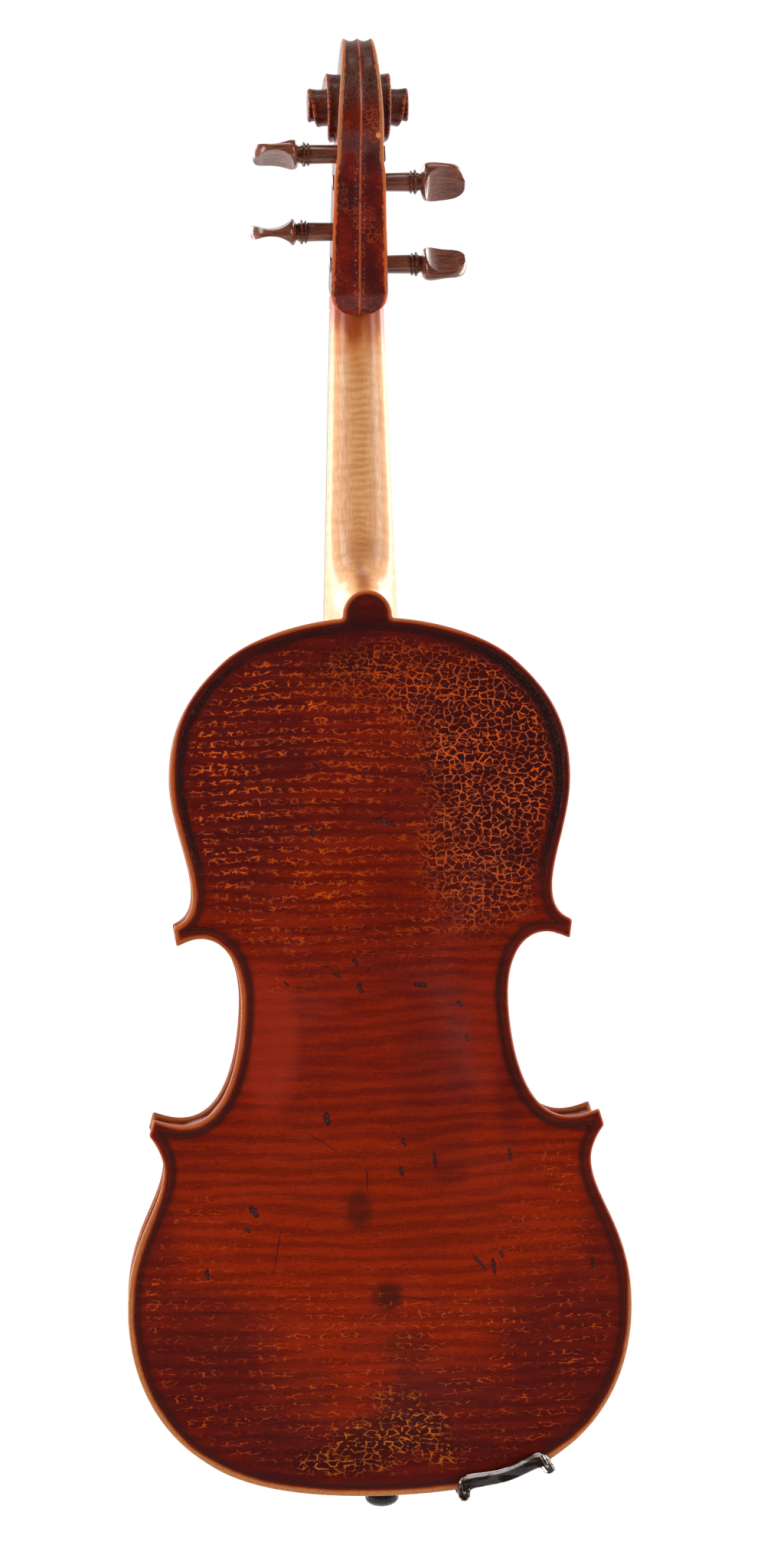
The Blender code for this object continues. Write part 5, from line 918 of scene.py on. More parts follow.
def root_half(y):
    full = board_half(-NECK_LENGTH) + 0.2
    return mix(BUTTON_WIDTH / 2 - SEAM, full, (y - GLUE_BACK) / (TOP_EDGE + OVERSTAND - GLUE_BACK))


def neck_section(top, bottom, half, power, count=28):
    """A U-shaped section from one edge of the glue face round the back to the other."""
    ring = []
    for k in range(count + 1):
        angle = math.pi * k / count
        c = math.cos(angle)
        depth = max(math.sin(angle), 0.0) ** (2 / power)
        ring.append((half * math.copysign(abs(c) ** (2 / power), c), mix(top[0], bottom[0], depth),
                     mix(top[1], bottom[1], depth)))
    return ring


def neck_rings():
    """Sections down the neck, then turning round the heel to the button."""
    rings = []
    for s in np.linspace(7.0, -96.0, 36):
        thick = mix(NECK_THICK_NUT, NECK_THICK_HEEL, min(max(-s / 100, 0), 1))
        rings.append(neck_section(neck_point(0, s, 0)[1:], neck_point(0, s, -thick)[1:], board_half(s), 2.15))
    root_z = BODY_LENGTH - ROOT_DEPTH
    face = GLUE_BACK + SEAM
    corner = neck_point(0, (root_z - NUT_Z) / math.cos(NECK_SLOPE), 0)
    glue_path = np.array([neck_point(0, -100, 0)[1:], (corner[1], root_z), (face, root_z)])
    glue_lengths = lengths(glue_path)
    low = neck_point(0, -100, -NECK_THICK_HEEL)
    tip = (face, BODY_LENGTH + BUTTON_HEIGHT - SEAM)
    heel = cubics([(low[1:], (low[1] + 1.6, low[2] - 24), (face + 19, tip[1] - 1), tip)], 40)
    for i, bottom in enumerate(heel):
        share = i / (len(heel) - 1)
        away = glue_lengths[-1] * share
        top = [np.interp(away, glue_lengths, glue_path[:, k]) for k in (0, 1)]
        on_board = away <= glue_lengths[1]
        half = board_half((top[1] - NUT_Z) / math.cos(NECK_SLOPE)) if on_board else root_half(top[0])
        ring = neck_section(top, bottom, half, mix(2.15, 2.3, share))
        rings.append([(math.copysign(min(abs(x), root_half(y)), x), y, z) for x, y, z in ring])
    return rings


def loft_faces(rows, columns):
    """Closed rings joined in order, with both ends filled."""
    faces = grid_faces(rows, columns, True)
    return faces + [tuple(reversed(range(columns))), tuple((rows - 1) * columns + c for c in range(columns))]


def make_neck_shaft(look):
    rings = neck_rings()
    points = [p for ring in rings for p in ring]
    data = new_mesh("neck_shaft", points, loft_faces(len(rings), len(rings[0])), 50)
    return new_piece("neck_shaft", data, look, "neck")


# Head: the pegbox and the scroll, in the neck's frame

BACK_LINE = ((-2.0, -12.0), (-2.3, -15.4), (-1.7, -18.2), (0.1, -20.6), (3.2, -22.9), (7.6, -25.1), (20, -29.0),
             (40, -34.5), (60, -41.5), (71, -46.0))
CHIN_WIDTHS = ((0, 0.38), (3.4, 0.43), (6.3, 0.61), (9.3, 0.81), (13.1, 0.95), (18.0, 1.0))
FRONT_LINE = ((7.0, 0.6), (20, -4.6), (40, -12.0), (58, -18.8), (67, -22.4), (72.5, -25.4), (76, -29.0))
TURN_RADII = ((45, 28.6), (90, 28), (180, 30.6), (270, 24.5), (360, 16.5), (450, 15.5), (540, 14.5), (630, 12),
              (720, 9.8), (810, 8.3), (900, 7.75), (1260, 7.75))
TURN_HALVES = ((45, 10.8), (90, 10), (180, 7.1), (270, 9.5), (360, 14), (450, 14.75), (540, 15.2), (630, 17),
               (720, 19.5), (810, 22), (900, 23.4), (1260, 23.4))
EYE_S = 94.3
EYE_T = -27.0
PEGBOX_LOW_HALF = 13.5
PEGBOX_HIGH_HALF = 11.4
CHEEK = 5.2
FLOOR = 5.5
FLUTE = 1.25
CHAMFER = 0.9
STRIP_SINK = 0.9
FIRST_TURN = 50.0
RIBBON_END = 372.0
EYE_START = 900.0
EYE_END = 1260.0
CAVITY = (8.6, 76.0)

RADII = through(TURN_RADII)
HALVES = through(TURN_HALVES)


def turn_radius(angle):
    return np.interp(angle, RADII[:, 0], RADII[:, 1])


def turn_half(angle):
    return np.interp(angle, HALVES[:, 0], HALVES[:, 1])


def turn_point(angle, radius):
    """A point of the scroll, its angle counted from straight down through the back."""
    turn = np.radians(angle)
    return np.column_stack([EYE_S - radius * np.cos(turn), EYE_T - radius * np.sin(turn)])


def pegbox_half(s):
    return mix(PEGBOX_LOW_HALF, PEGBOX_HIGH_HALF, np.clip((s - 5) / 74, 0, 1))


def head_lines():
    """Matched stations along the head: outer and inner places, half widths and how open the box is."""
    turn = np.arange(FIRST_TURN, RIBBON_END, 3.5)
    back = evenly(through(BACK_LINE), 0.8)
    outer = np.vstack([back, turn_point(turn, turn_radius(turn))])
    front = evenly(through(FRONT_LINE), 0.5)
    wrap = np.arange(0.0, FIRST_TURN, 2.0)
    inner_path = np.vstack([front, turn_point(wrap, turn_radius(wrap + 360))])
    inner_lengths = lengths(inner_path)
    throat = lengths(front)[-1]
    reach = np.linspace(0, 1, len(back))
    keys = ((0.0, 0.0), (0.13, 0.0), (0.30, 0.17 * throat), (0.86, 0.93 * throat), (1.0, inner_lengths[-1]))
    keys = through(keys)
    marks = np.interp(reach, keys[:, 0], keys[:, 1])
    inner = np.column_stack([np.interp(marks, inner_lengths, inner_path[:, k]) for k in (0, 1)])
    inner = np.vstack([inner, turn_point(turn, turn_radius(turn + 360))])
    along = lengths(back)
    chin = through(CHIN_WIDTHS)
    half = np.interp(along, chin[:, 0], chin[:, 1]) * pegbox_half(back[:, 0])
    half = np.concatenate([half, turn_half(turn)])
    blend = smooth((along - along[-1] + 12) / 12)
    half[:len(back)] = mix(half[:len(back)], turn_half(FIRST_TURN), blend)
    open_share = np.where((inner[:, 0] > CAVITY[0]) & (marks.max() * 0 + inner[:, 0] < CAVITY[1]), 1.0, 0.0)
    open_share[len(back):] = 0.0
    open_share[:len(back)] *= (marks > 0.4) & (marks < throat - 0.6)
    return outer, inner, half, open_share, len(back)


def ribbon_depths():
    """Shares across the head's outer face, with the depth of the two flutes."""
    inside = (0.0, 0.03, 0.055, 0.1, 0.17, 0.27, 0.38, 0.5, 0.62, 0.74, 0.84, 0.92, 0.965, 1.0)
    rows = [(u, FLUTE * (1 - (2 * u - 1) ** 2) ** 0.9) for u in inside]
    return rows


def head_section(outer, inner, normal, half, opening, fluted):
    """One ring round the head, with how worn and how near the spine each point is."""
    flat = half - CHAMFER
    right = [(flat * u, depth * fluted, np.interp(u, (0.8, 1.0), (0.0, 0.9)), 1.0 if u < 0.035 else 0.0)
             for u, depth in ribbon_depths()]
    right.append((half - 0.25, CHAMFER * 0.55, 1.0, 0.0))
    right.append((half, CHAMFER, 1.0, 0.0))
    ring = []
    for x, depth, worn, spine in right:
        ring.append((x, outer[0] + normal[0] * depth, outer[1] + normal[1] * depth, worn, spine))
    edge = ring[-1]
    for share in (0.04, 0.12, 0.3, 0.5, 0.7, 0.88, 0.96):
        hollow = math.sin(math.pi * share) * 0.35
        ring.append((half - hollow, mix(edge[1], inner[0], share), mix(edge[2], inner[1], share), 0.0, 0.0))
    ring.append((half - 0.1, inner[0], inner[1], 0.7, 0.0))
    wall = half - CHEEK if opening else half - 0.6
    floor = mix(np.array(inner), np.array(outer), 1 - FLOOR / max(math.dist(inner, outer), FLOOR + 1)) \
        if opening else np.array(inner)
    ring.append((half - 0.7, inner[0] + 0.0, inner[1] + 0.1 * opening, 0.7, 0.0))
    for share in (0.0, 0.04, 0.4, 0.8, 1.0):
        ring.append((wall + (0.5 if share == 0.0 and opening else 0.0), mix(inner[0], floor[0], share),
                     mix(inner[1], floor[1], share), 0.0, 0.0))
    ring.append((wall * 0.5, floor[0], floor[1], 0.0, 0.0))
    left = [(-x, *rest) for x, *rest in reversed(ring[1:])]
    middle = [(0.0, floor[0], floor[1], 0.0, 0.0)]
    return ring + middle + left


def make_head(look):
    outer, inner, half, opening, boxed = head_lines()
    ahead = np.gradient(outer, axis=0)
    ahead /= np.linalg.norm(ahead, axis=1)[:, None]
    normals = np.column_stack([-ahead[:, 1], ahead[:, 0]])
    toward = ((inner - outer) * normals).sum(1)
    normals *= np.sign(toward)[:, None]
    fluted = smooth((lengths(outer) - 5.0) / 7.0)
    rings = [head_section(outer[i], inner[i], normals[i], half[i], opening[i], fluted[i])
             for i in range(len(outer))]
    rows, columns = len(rings), len(rings[0])
    table = np.array([p for ring in rings for p in ring])
    points = [neck_point(*p[:3]) for p in table]
    data = new_mesh("head", points, loft_faces(rows, columns), 42)
    set_values(data, "worn", table[:, 3])
    set_values(data, "spine", table[:, 4])
    new_piece("head_carved", data, look, "neck")
    for name, side in (("bass", 1), ("treble", -1)):
        make_volute(name, side, look)


def make_volute(name, side, look):
    """One side's inner turns, which climb to the eye."""
    angles = np.arange(RIBBON_END - 16, EYE_END + 1, 4.0)
    rows = []
    worn = []
    for angle in angles:
        radius = turn_radius(angle)
        crest = turn_half(angle)
        foot = turn_half(max(angle - 360, 0)) - STRIP_SINK - 0.4
        inner_radius = turn_radius(angle + 360) if angle < EYE_START else 0.05
        row = [(radius + 0.3, foot)]
        for share in (0.12, 0.35, 0.6, 0.85):
            rise = mix(foot, crest - CHAMFER, share)
            row.append((radius - 0.5 * math.sin(math.pi * share), rise))
        row += [(radius, crest - CHAMFER), (radius - 0.25, crest - CHAMFER * 0.4), (radius - CHAMFER, crest)]
        top = radius - CHAMFER
        for share in (0.15, 0.35, 0.6, 0.85, 1.0):
            dish = STRIP_SINK * math.sin(math.pi / 2 * share) if angle < EYE_START else 0.5 * share
            row.append((mix(top, min(inner_radius, top), share), crest - dish))
        rows.append(row)
        worn.append([0, 0, 0, 0, 0.3, 1, 1, 1, 0.2, 0, 0, 0, 0])
    rows = np.array(rows)
    count, columns = rows.shape[:2]
    points = []
    for angle, row in zip(angles, rows):
        for radius, x in row:
            s, t = turn_point(np.array([angle]), radius)[0]
            points.append(neck_point(side * x, s, t))
    faces = grid_faces(count, columns, False)
    if side < 0:
        faces = [tuple(reversed(f)) for f in faces]
    data = new_mesh(f"volute_{name}", points, faces, 48)
    set_values(data, "worn", np.array(worn, float).ravel())
    set_values(data, "spine", np.zeros(len(points)))
    new_piece(f"volute_{name}", data, look, "neck")


# Round rods, turned pieces and bands

def tube_mesh(name, path, radius, sides=12):
    """A round rod along a path of body points, its ends a little rounded."""
    path = np.asarray(path, float)
    ahead = np.gradient(path, axis=0)
    ahead /= np.linalg.norm(ahead, axis=1)[:, None]
    side = np.cross(ahead[0], (0.3, 0.5, 0.8))
    rings = []
    for i, (spot, forward) in enumerate(zip(path, ahead)):
        side = side - forward * side.dot(forward)
        side /= np.linalg.norm(side)
        other = np.cross(forward, side)
        turn = np.linspace(0, 2 * math.pi, sides, endpoint=False)[:, None]
        circle = np.cos(turn) * side + np.sin(turn) * other
        if i == 0:
            rings.append(spot - forward * radius * 0.3 + circle * radius * 0.6)
        rings.append(spot + circle * radius)
        if i == len(path) - 1:
            rings.append(spot + forward * radius * 0.3 + circle * radius * 0.6)
    faces = loft_faces(len(rings), sides)
    return new_mesh(name, np.vstack(rings), faces, 50)


def turned_mesh(name, profile, centre, axis, sides=48, sharp=32, bored=False):
    """A turned solid: profile is (distance along the axis, radius)."""
    forward = np.array(axis, float)
    side = np.array(Vector(axis).orthogonal().normalized())
    other = np.cross(forward, side)
    turn = np.linspace(0, 2 * math.pi, sides, endpoint=False)[:, None]
    circle = np.cos(turn) * side + np.sin(turn) * other
    rings = [np.array(centre) + forward * away + circle * radius for away, radius in profile]
    faces = grid_faces(len(rings) + 1, sides, True) if bored else loft_faces(len(rings), sides)
    if bored:
        rings.append(rings[0])
    data = new_mesh(name, np.vstack(rings), faces, sharp)
    if bored:
        welded(data, sharp)
    return data


def welded(data, sharp, apart=0.002):
    """The mesh with its doubled points joined."""
    work = bmesh.new()
    work.from_mesh(data)
    bmesh.ops.remove_doubles(work, verts=work.verts, dist=apart * MM)
    work.to_mesh(data)
    work.free()
    finish_shading(data, sharp)


def outward(data, sharp=40.0):
    """The mesh with all its faces looking out."""
    work = bmesh.new()
    work.from_mesh(data)
    bmesh.ops.recalc_face_normals(work, faces=work.faces)
    work.to_mesh(data)
    work.free()
    finish_shading(data, sharp)
    return data


def joined_mesh(name, meshes):
    """Several meshes as one, without joining their points."""
    work = bmesh.new()
    for data in meshes:
        work.from_mesh(data)
        bpy.data.meshes.remove(data)
    bmesh.ops.recalc_face_normals(work, faces=work.faces)
    made = bpy.data.meshes.new(name)
    work.to_mesh(made)
    work.free()
    return made


def carved(data, cutters, sharp):
    """The mesh with the cutters' space taken out of it."""
    pieces = []
    for name, mesh in (("carved", data), ("cutters", joined_mesh("cutters", cutters))):
        thing = bpy.data.objects.new(name, mesh)
        bpy.context.scene.collection.objects.link(thing)
        pieces.append(thing)
    cut = pieces[0].modifiers.new("cut", "BOOLEAN")
    cut.operation = "DIFFERENCE"
    cut.object = pieces[1]
    cut.solver = "EXACT"
    cut.use_self = True
    apply_modifiers(pieces[0])
    done = pieces[0].data
    for thing in pieces:
        bpy.data.objects.remove(thing)
    finish_shading(done, sharp)
    return done


# The top's f-holes, the neck's mortise and the saddle's notch

BRIDGE_Z = 188.0
F_MIDDLE_X = 42.6
F_UPPER_EYE = 7.6
F_LOWER_EYE = 10.6
F_STEM = ((-15.6, 38.0, 2.4), (-11.6, 43.5, 2.4), (-6.1, 40.5, 4.4), (-3.4, 28.0, 7.0), (-1.4, 12.0, 7.0),
          (1.0, -5.0, 7.0), (3.0, -21.0, 7.0), (6.0, -33.0, 4.4), (10.8, -36.8, 2.4), (15.4, -31.0, 2.4))
F_EYES = ((-16.4, 35.0, F_UPPER_EYE), (16.0, -27.8, F_LOWER_EYE))
F_NOTCH = 2.2
SADDLE_HALF = 18.0
SADDLE_DEPTH = 7.0
CUT_SPAN = (GLUE_TOP - 6, GLUE_TOP + TOP_ARCH + 6)


def prism_mesh(name, outline, low, high):
    """A plan outline made solid between two heights."""
    rings = [[(x, y, z) for x, z in outline] for y in (low, high)]
    return new_mesh(name, rings[0] + rings[1], loft_faces(2, len(outline)), 30)


def f_hole_cutters(side):
    middle = through(F_STEM, 8)
    middle[:, 0] = (middle[:, 0] + F_MIDDLE_X) * side
    middle[:, 1] += BRIDGE_Z
    ahead = np.gradient(middle[:, :2], axis=0)
    ahead /= np.linalg.norm(ahead, axis=1)[:, None]
    left = np.column_stack([-ahead[:, 1], ahead[:, 0]]) * middle[:, 2:] / 2
    outline = np.vstack([middle[:, :2] + left, (middle[:, :2] - left)[::-1]])
    cutters = [prism_mesh("f_stem", outline.tolist(), *CUT_SPAN)]
    for x, z, size in F_EYES:
        turn = np.linspace(0, 2 * math.pi, 40, endpoint=False)
        spot = np.array(((F_MIDDLE_X + x) * side, BRIDGE_Z + z))
        circle = spot + np.column_stack([np.cos(turn), np.sin(turn)]) * size / 2
        cutters.append(prism_mesh("f_eye", circle.tolist(), *CUT_SPAN))
    x, _ = middle[np.abs(middle[:, 1] - BRIDGE_Z).argmin(), :2]
    for way in (-1, 1):
        tip = x + way * (3.4 + F_NOTCH)
        notch = ((x, BRIDGE_Z - F_NOTCH), (tip, BRIDGE_Z), (x, BRIDGE_Z + F_NOTCH))
        cutters.append(prism_mesh("f_notch", notch, *CUT_SPAN))
    return cutters


def top_cutters():
    low, high = CUT_SPAN
    deep = BODY_LENGTH - ROOT_DEPTH - SEAM
    saddle = ((-SADDLE_HALF - SEAM, -3), (SADDLE_HALF + SEAM, -3), (SADDLE_HALF + SEAM, SADDLE_DEPTH + SEAM),
              (-SADDLE_HALF - SEAM, SADDLE_DEPTH + SEAM))
    mortise = []
    for z in (deep, BODY_LENGTH + 30):
        mortise += [(-root_half(low) - SEAM, low, z), (root_half(low) + SEAM, low, z),
                    (root_half(high) + SEAM, high, z), (-root_half(high) - SEAM, high, z)]
    return f_hole_cutters(1) + f_hole_cutters(-1) + [
        prism_mesh("saddle_notch", saddle, low, high), new_mesh("mortise", mortise, loft_faces(2, 4), 30)]


def make_top(looks):
    half = half_outline(False)
    outline = np.vstack([half, mirrored(half)[1:-1]])
    placed, faces, inner, _ = plate_mesh("top_plate", half, GLUE_TOP, 1, TOP_ARCH)
    data = new_mesh("top_plate", placed, faces)
    data.polygons.foreach_set("material_index", inner)
    seam_closed(data)
    data = carved(outward(data, 55), top_cutters(), 55)
    spots = np.empty(len(data.vertices) * 3)
    data.vertices.foreach_get("co", spots)
    spots = spots.reshape(-1, 3) / MM - ORIGIN
    edge = path_distance(spots[:, (0, 2)], outline)
    set_values(data, "edge", edge)
    set_values(data, "rim", edge)
    holes = np.vstack([through(F_STEM, 4)[:, :2] + (F_MIDDLE_X, BRIDGE_Z), [(F_MIDDLE_X + x, BRIDGE_Z + z)
                                                                           for x, z, _ in F_EYES]])
    near = np.full(len(spots), np.inf)
    for x, z in holes:
        near = np.minimum(near, np.hypot(np.abs(spots[:, 0]) - x, spots[:, 2] - z))
    set_values(data, "hole", near)
    set_values(data, "grime", np.full(len(spots), 0.6))
    set_values(data, "bare", np.full(len(spots), 0.7))
    for face in data.polygons:
        walls = abs(face.normal.y) < 0.35 and min(edge[i] for i in face.vertices) > 5
        face.material_index = 1 if walls else face.material_index
    new_piece("top_plate_carved", data, looks["varnished_spruce"], "top_plate", more=[looks["pale_wood"]])


# Fingerboard

BOARD_EDGE = 5.5
BOARD_RADIUS = 42.0
BOARD_HOLLOW = 2.6
BOARD_HOLLOW_RUN = 14.0
BOARD_ROUND = 0.5


def board_top(x, s):
    sag = np.sqrt(BOARD_RADIUS ** 2 - x * x) - math.sqrt(BOARD_RADIUS ** 2 - board_half(s) ** 2)
    return SEAM + BOARD_EDGE + sag


def make_board(look):
    """The fingerboard: a curved top, eased edges and a hollow under its free end."""
    free = -(NECK_LENGTH + ROOT_DEPTH + 4)
    stations = [-SEAM, -SEAM - 0.4, -40, -80, -120, free + 6, free - BOARD_HOLLOW_RUN, (free - BOARD_LENGTH) / 2,
                -280, -BOARD_LENGTH + 0.5, -BOARD_LENGTH]
    rings = []
    for i, s in enumerate(stations):
        drawn = 0.5 if i in (0, len(stations) - 1) else 0.0
        half = board_half(s) - drawn * 0.6
        hollow = BOARD_HOLLOW if s < free else 0.0
        across = np.linspace(-1, 1, 41) * (half - BOARD_ROUND)
        ring = [(x, board_top(x, s) - drawn) for x in across]
        corner = board_top(half, s)
        ring += [(half - BOARD_ROUND * 0.3, corner - BOARD_ROUND * 0.3 - drawn), (half, corner - BOARD_ROUND - drawn),
                 (half, SEAM + 0.3 + drawn * 0.5), (half - 0.3, SEAM + drawn * 0.5)]
        ring += [(half * u, SEAM + hollow * (1 - u * u) + drawn * 0.5) for u in np.linspace(0.96, -0.96, 21)]
        ring += [(-x, t) for x, t in reversed(ring[41:45])]
        rings.append([neck_point(x, s, t) for x, t in ring])
    points = [p for ring in rings for p in ring]
    data = outward(new_mesh("fingerboard", points, loft_faces(len(rings), len(rings[0])), 40))
    new_piece("fingerboard_planed", data, look, "fingerboard")


# Pegs and windings

PEG_WALL_DIAMETER = 8.5
PEG_TAPER = 1.0 / 30.0
PEG_COLLAR_DIAMETER = 11.6
PEG_COLLAR_REACH = 11.6
PEG_COLLAR_LENGTH = 5.2
PEG_NECK_DIAMETER = 7.8
PEG_REACH = 38.0
PEG_HEAD_WIDTH = 21.0
PEG_LIP_THICKNESS = 12.4
PEG_TAIL = 0.8
PEGS = {
    "c": {"s": 20.9, "side": 1, "turn": 48.0, "first": 2.0},
    "g": {"s": 58.6, "side": 1, "turn": -48.0, "first": 0.9},
    "d": {"s": 71.4, "side": -1, "turn": -77.0, "first": 0.9},
    "a": {"s": 36.2, "side": -1, "turn": 79.0, "first": 2.0},
}
PEG_THUMB = ((0.0, 0.40, 0.63), (0.03, 0.60, 0.80), (0.08, 0.88, 1.0), (0.15, 0.98, 0.73), (0.26, 1.0, 0.48),
             (0.40, 0.99, 0.30), (0.58, 0.95, 0.235), (0.74, 0.86, 0.31), (0.86, 0.68, 0.44),
             (0.95, 0.46, 0.48), (0.985, 0.30, 0.40), (1.0, 0.14, 0.20))
STRINGS = ("c", "g", "d", "a")
STRING_DIAMETERS = {"c": 1.1, "g": 0.95, "d": 0.8, "a": 0.7}
NUT_SPREAD = 17.0
NUT_LENGTH = 6.0
NUT_RISE = 0.3
WINDING_TURNS = 3
WINDING_GAP = 0.5


def peg_centre(name):
    s = PEGS[name]["s"]
    front, back = (np.interp(s, *np.array(line).T) for line in (FRONT_LINE, BACK_LINE[3:]))
    return s, mix(front, back, 0.48)


def peg_radius(name, out):
    return PEG_WALL_DIAMETER / 2 - PEG_TAPER / 2 * (pegbox_half(PEGS[name]["s"]) - out)


def bead(start, length, low, high, steps=7):
    """A turned half-round bead between two reaches."""
    return [(start + length * (1 - math.cos(math.pi * k / steps)) / 2,
             low + (high - low) * math.sin(math.pi * k / steps)) for k in range(steps + 1)]


def peg_turning(name):
    """The turned part from the small end to the neck under the thumb piece."""
    wall = pegbox_half(PEGS[name]["s"])
    out = wall + PEG_COLLAR_REACH
    collar = PEG_COLLAR_DIAMETER / 2
    small = peg_radius(name, -wall)
    neck = PEG_NECK_DIAMETER / 2
    profile = [(-wall - PEG_TAIL, small * 0.55), (-wall - PEG_TAIL + 0.12, small * 0.8),
               (-wall - PEG_TAIL + 0.4, small * 0.95), (-wall - PEG_TAIL + 0.8, small)]
    profile += [(mix(-wall, out - 0.2, k / 8), peg_radius(name, mix(-wall, out - 0.2, k / 8))) for k in range(1, 9)]
    profile += bead(out, 1.3, peg_radius(name, out) - 0.1, collar - 0.4)
    profile += bead(out + 1.75, 1.7, collar - 1.4, collar)
    cove = np.linspace(0, 1, 7)[1:]
    profile += [(out + 3.6 + u * (PEG_COLLAR_LENGTH - 3.9), mix(collar - 1.2, neck, math.sin(u * math.pi / 2)))
                for u in cove]
    return profile


def peg_ring(half, thick, left, hollowed):
    """A section with its corners, where the hollowed faces meet the round sides, at fixed places."""
    corner = math.asin(min(left / thick, 0.87))
    face = []
    for u in np.linspace(1, -1, 15):
        a = half * math.cos(corner) * u
        b = min(left, thick * math.sqrt(max(1 - (a / half) ** 2, 0)))
        face.append((a, b * (1 - hollowed * (1 - u * u))))
    sides = np.linspace(math.pi - corner, math.pi + corner, 11)[1:-1]
    arc = [(half * math.cos(angle), thick * math.sin(angle)) for angle in sides]
    return face + arc + [(-a, -b) for a, b in face + arc]


def make_peg(name, look):
    """A tapered shaft, a double collar and a thumb piece hollowed on both faces."""
    s, t = peg_centre(name)
    side = PEGS[name]["side"]
    centre = neck_point(0, s, t)
    turn = math.radians(PEGS[name]["turn"])
    wall = pegbox_half(s)
    start = wall + PEG_COLLAR_REACH + PEG_COLLAR_LENGTH
    sections = [(reach, radius, radius, radius, 0.0) for reach, radius in peg_turning(name)]
    for share, width, thick in through(PEG_THUMB, 7):
        half = width * PEG_HEAD_WIDTH / 2
        lip = PEG_LIP_THICKNESS / 2
        dish = 0.10 * math.sin(math.pi * min(max((share - 0.1) / 0.85, 0), 1))
        sections.append((mix(start, wall + PEG_REACH, share), half, min(lip, half), thick * lip, dish))
    points = []
    for reach, half, thick, left, dish in sections:
        for a, b in peg_ring(half, thick, left, dish):
            points.append((centre[0] + side * reach, centre[1] + a * math.sin(turn) + b * math.cos(turn),
                           centre[2] + a * math.cos(turn) - b * math.sin(turn)))
    columns = len(points) // len(sections)
    data = outward(new_mesh(f"peg_{name}", points, loft_faces(len(sections), columns)), 33)
    new_piece(f"peg_{name}_turned", data, look, f"peg_{name}", BODY_OF[f"peg_{name}"])


def string_x(name, spread):
    return spread / 2 * (1 - 2 * STRINGS.index(name) / 3)


def make_winding(name, look):
    """A string's turns round its peg's shaft, from the string's own tangent towards the middle."""
    s, t = peg_centre(name)
    diameter = STRING_DIAMETERS[name]
    radius = peg_radius(name, 0) + SEAM + diameter / 2
    x = string_x(name, NUT_SPREAD)
    from_s = NUT_LENGTH + 2 * SEAM
    from_t = board_top(x, 0) + NUT_RISE + SEAM + diameter / 2
    away = math.dist((s, t), (from_s, from_t))
    start = math.atan2(from_t - t, from_s - s) - math.acos(radius / away)
    turns = np.linspace(0, WINDING_TURNS, WINDING_TURNS * 40 + 1)
    angle = start - 2 * math.pi * turns
    reach = PEGS[name]["side"] * (PEGS[name]["first"] + (diameter + WINDING_GAP) * turns)
    path = [neck_point(x, s + radius * math.cos(a), t + radius * math.sin(a)) for x, a in zip(reach, angle)]
    data = outward(tube_mesh(f"winding_{name}", path, diameter / 2, 12), 50)
    new_piece(f"winding_{name}_wound", data, look, f"winding_{name}", BODY_OF[f"winding_{name}"])


# End button

BUTTON_DIAMETER = 15.9
BUTTON_NECK_DIAMETER = 11.0
BUTTON_REACH = 11.6
BUTTON_STEM_DIAMETER = 8.2
BUTTON_STEM_LENGTH = 16.0
RIB_FACE = 2.7


def make_end_button(look):
    radius = BUTTON_DIAMETER / 2
    neck = BUTTON_NECK_DIAMETER / 2
    stem = BUTTON_STEM_DIAMETER / 2
    profile = [(-BUTTON_STEM_LENGTH, stem - 0.6), (SEAM, stem), (SEAM, neck + 1.0)]
    profile += bead(SEAM, 1.6, neck + 0.7, neck + 1.2)
    profile += [(2.0, neck), (3.9, neck), (4.2, radius * 0.80), (4.5, radius * 0.9)]
    dome = through(((0.0, 0.93), (0.12, 0.985), (0.3, 1.0), (0.55, 0.955), (0.75, 0.80), (0.9, 0.55),
                    (0.975, 0.28), (1.0, 0.04)), 5)
    profile += [(mix(4.7, BUTTON_REACH, share), radius * width) for share, width in dome]
    centre = (0, (GLUE_BACK + GLUE_TOP) / 2, RIB_FACE)
    data = outward(turned_mesh("end_button", profile, centre, (0, 0, -1), 64), 35)
    new_piece("end_button_turned", data, look, "end_button")


# Chin rest and its clamp

CHIN_X = 57.0
CHIN_Z = 36.0
CHIN_LENGTH = 84.0
CHIN_BREADTH = 54.0
CHIN_TURN = math.radians(28.0)
CHIN_RISE = 21.0
CHIN_DISH = 6.5
CORK_THICK = 3.2
BAND_THICK = 2.8
BAND_WIDTH = 9.4
BAND_WAIST = 0.76
BAND_INSET = 1.2
BAND_MARGIN = 4.0
LINER_THICK = 1.2
LEG_X = (36.8, 75.5)
CLAMP_REACH = 2.2
ROD_DIAMETER = 2.6
ROD_BEND = 2.4
ROD_GRIP = 7.0
BARREL_DIAMETER = 6.4
BARREL_LENGTH = 24.0
BARREL_BORE = 3.4
KEY_HOLE_DIAMETER = 1.8
CORK_LOW = GLUE_TOP + EDGE_THICK + SEAM
BAND_LOW = CORK_LOW + CORK_THICK + SEAM
LINER_LOW = -SEAM - LINER_THICK
FOOT_HIGH = LINER_LOW - SEAM
BARREL_MIDDLE = (GLUE_BACK + GLUE_TOP) / 2


def edge_path(inset, low_x, high_x, spacing=0.5):
    """A stretch of the lower edge moved in, with its inward normals."""
    path = evenly(cubics(LOWER_BOUT[:2], 60), spacing)
    ahead = np.gradient(path, axis=0)
    ahead /= np.linalg.norm(ahead, axis=1)[:, None]
    inward = np.column_stack([-ahead[:, 1], ahead[:, 0]])
    kept = (path[:, 0] > low_x) & (path[:, 0] < high_x)
    return path[kept] + inward[kept] * inset, inward[kept]


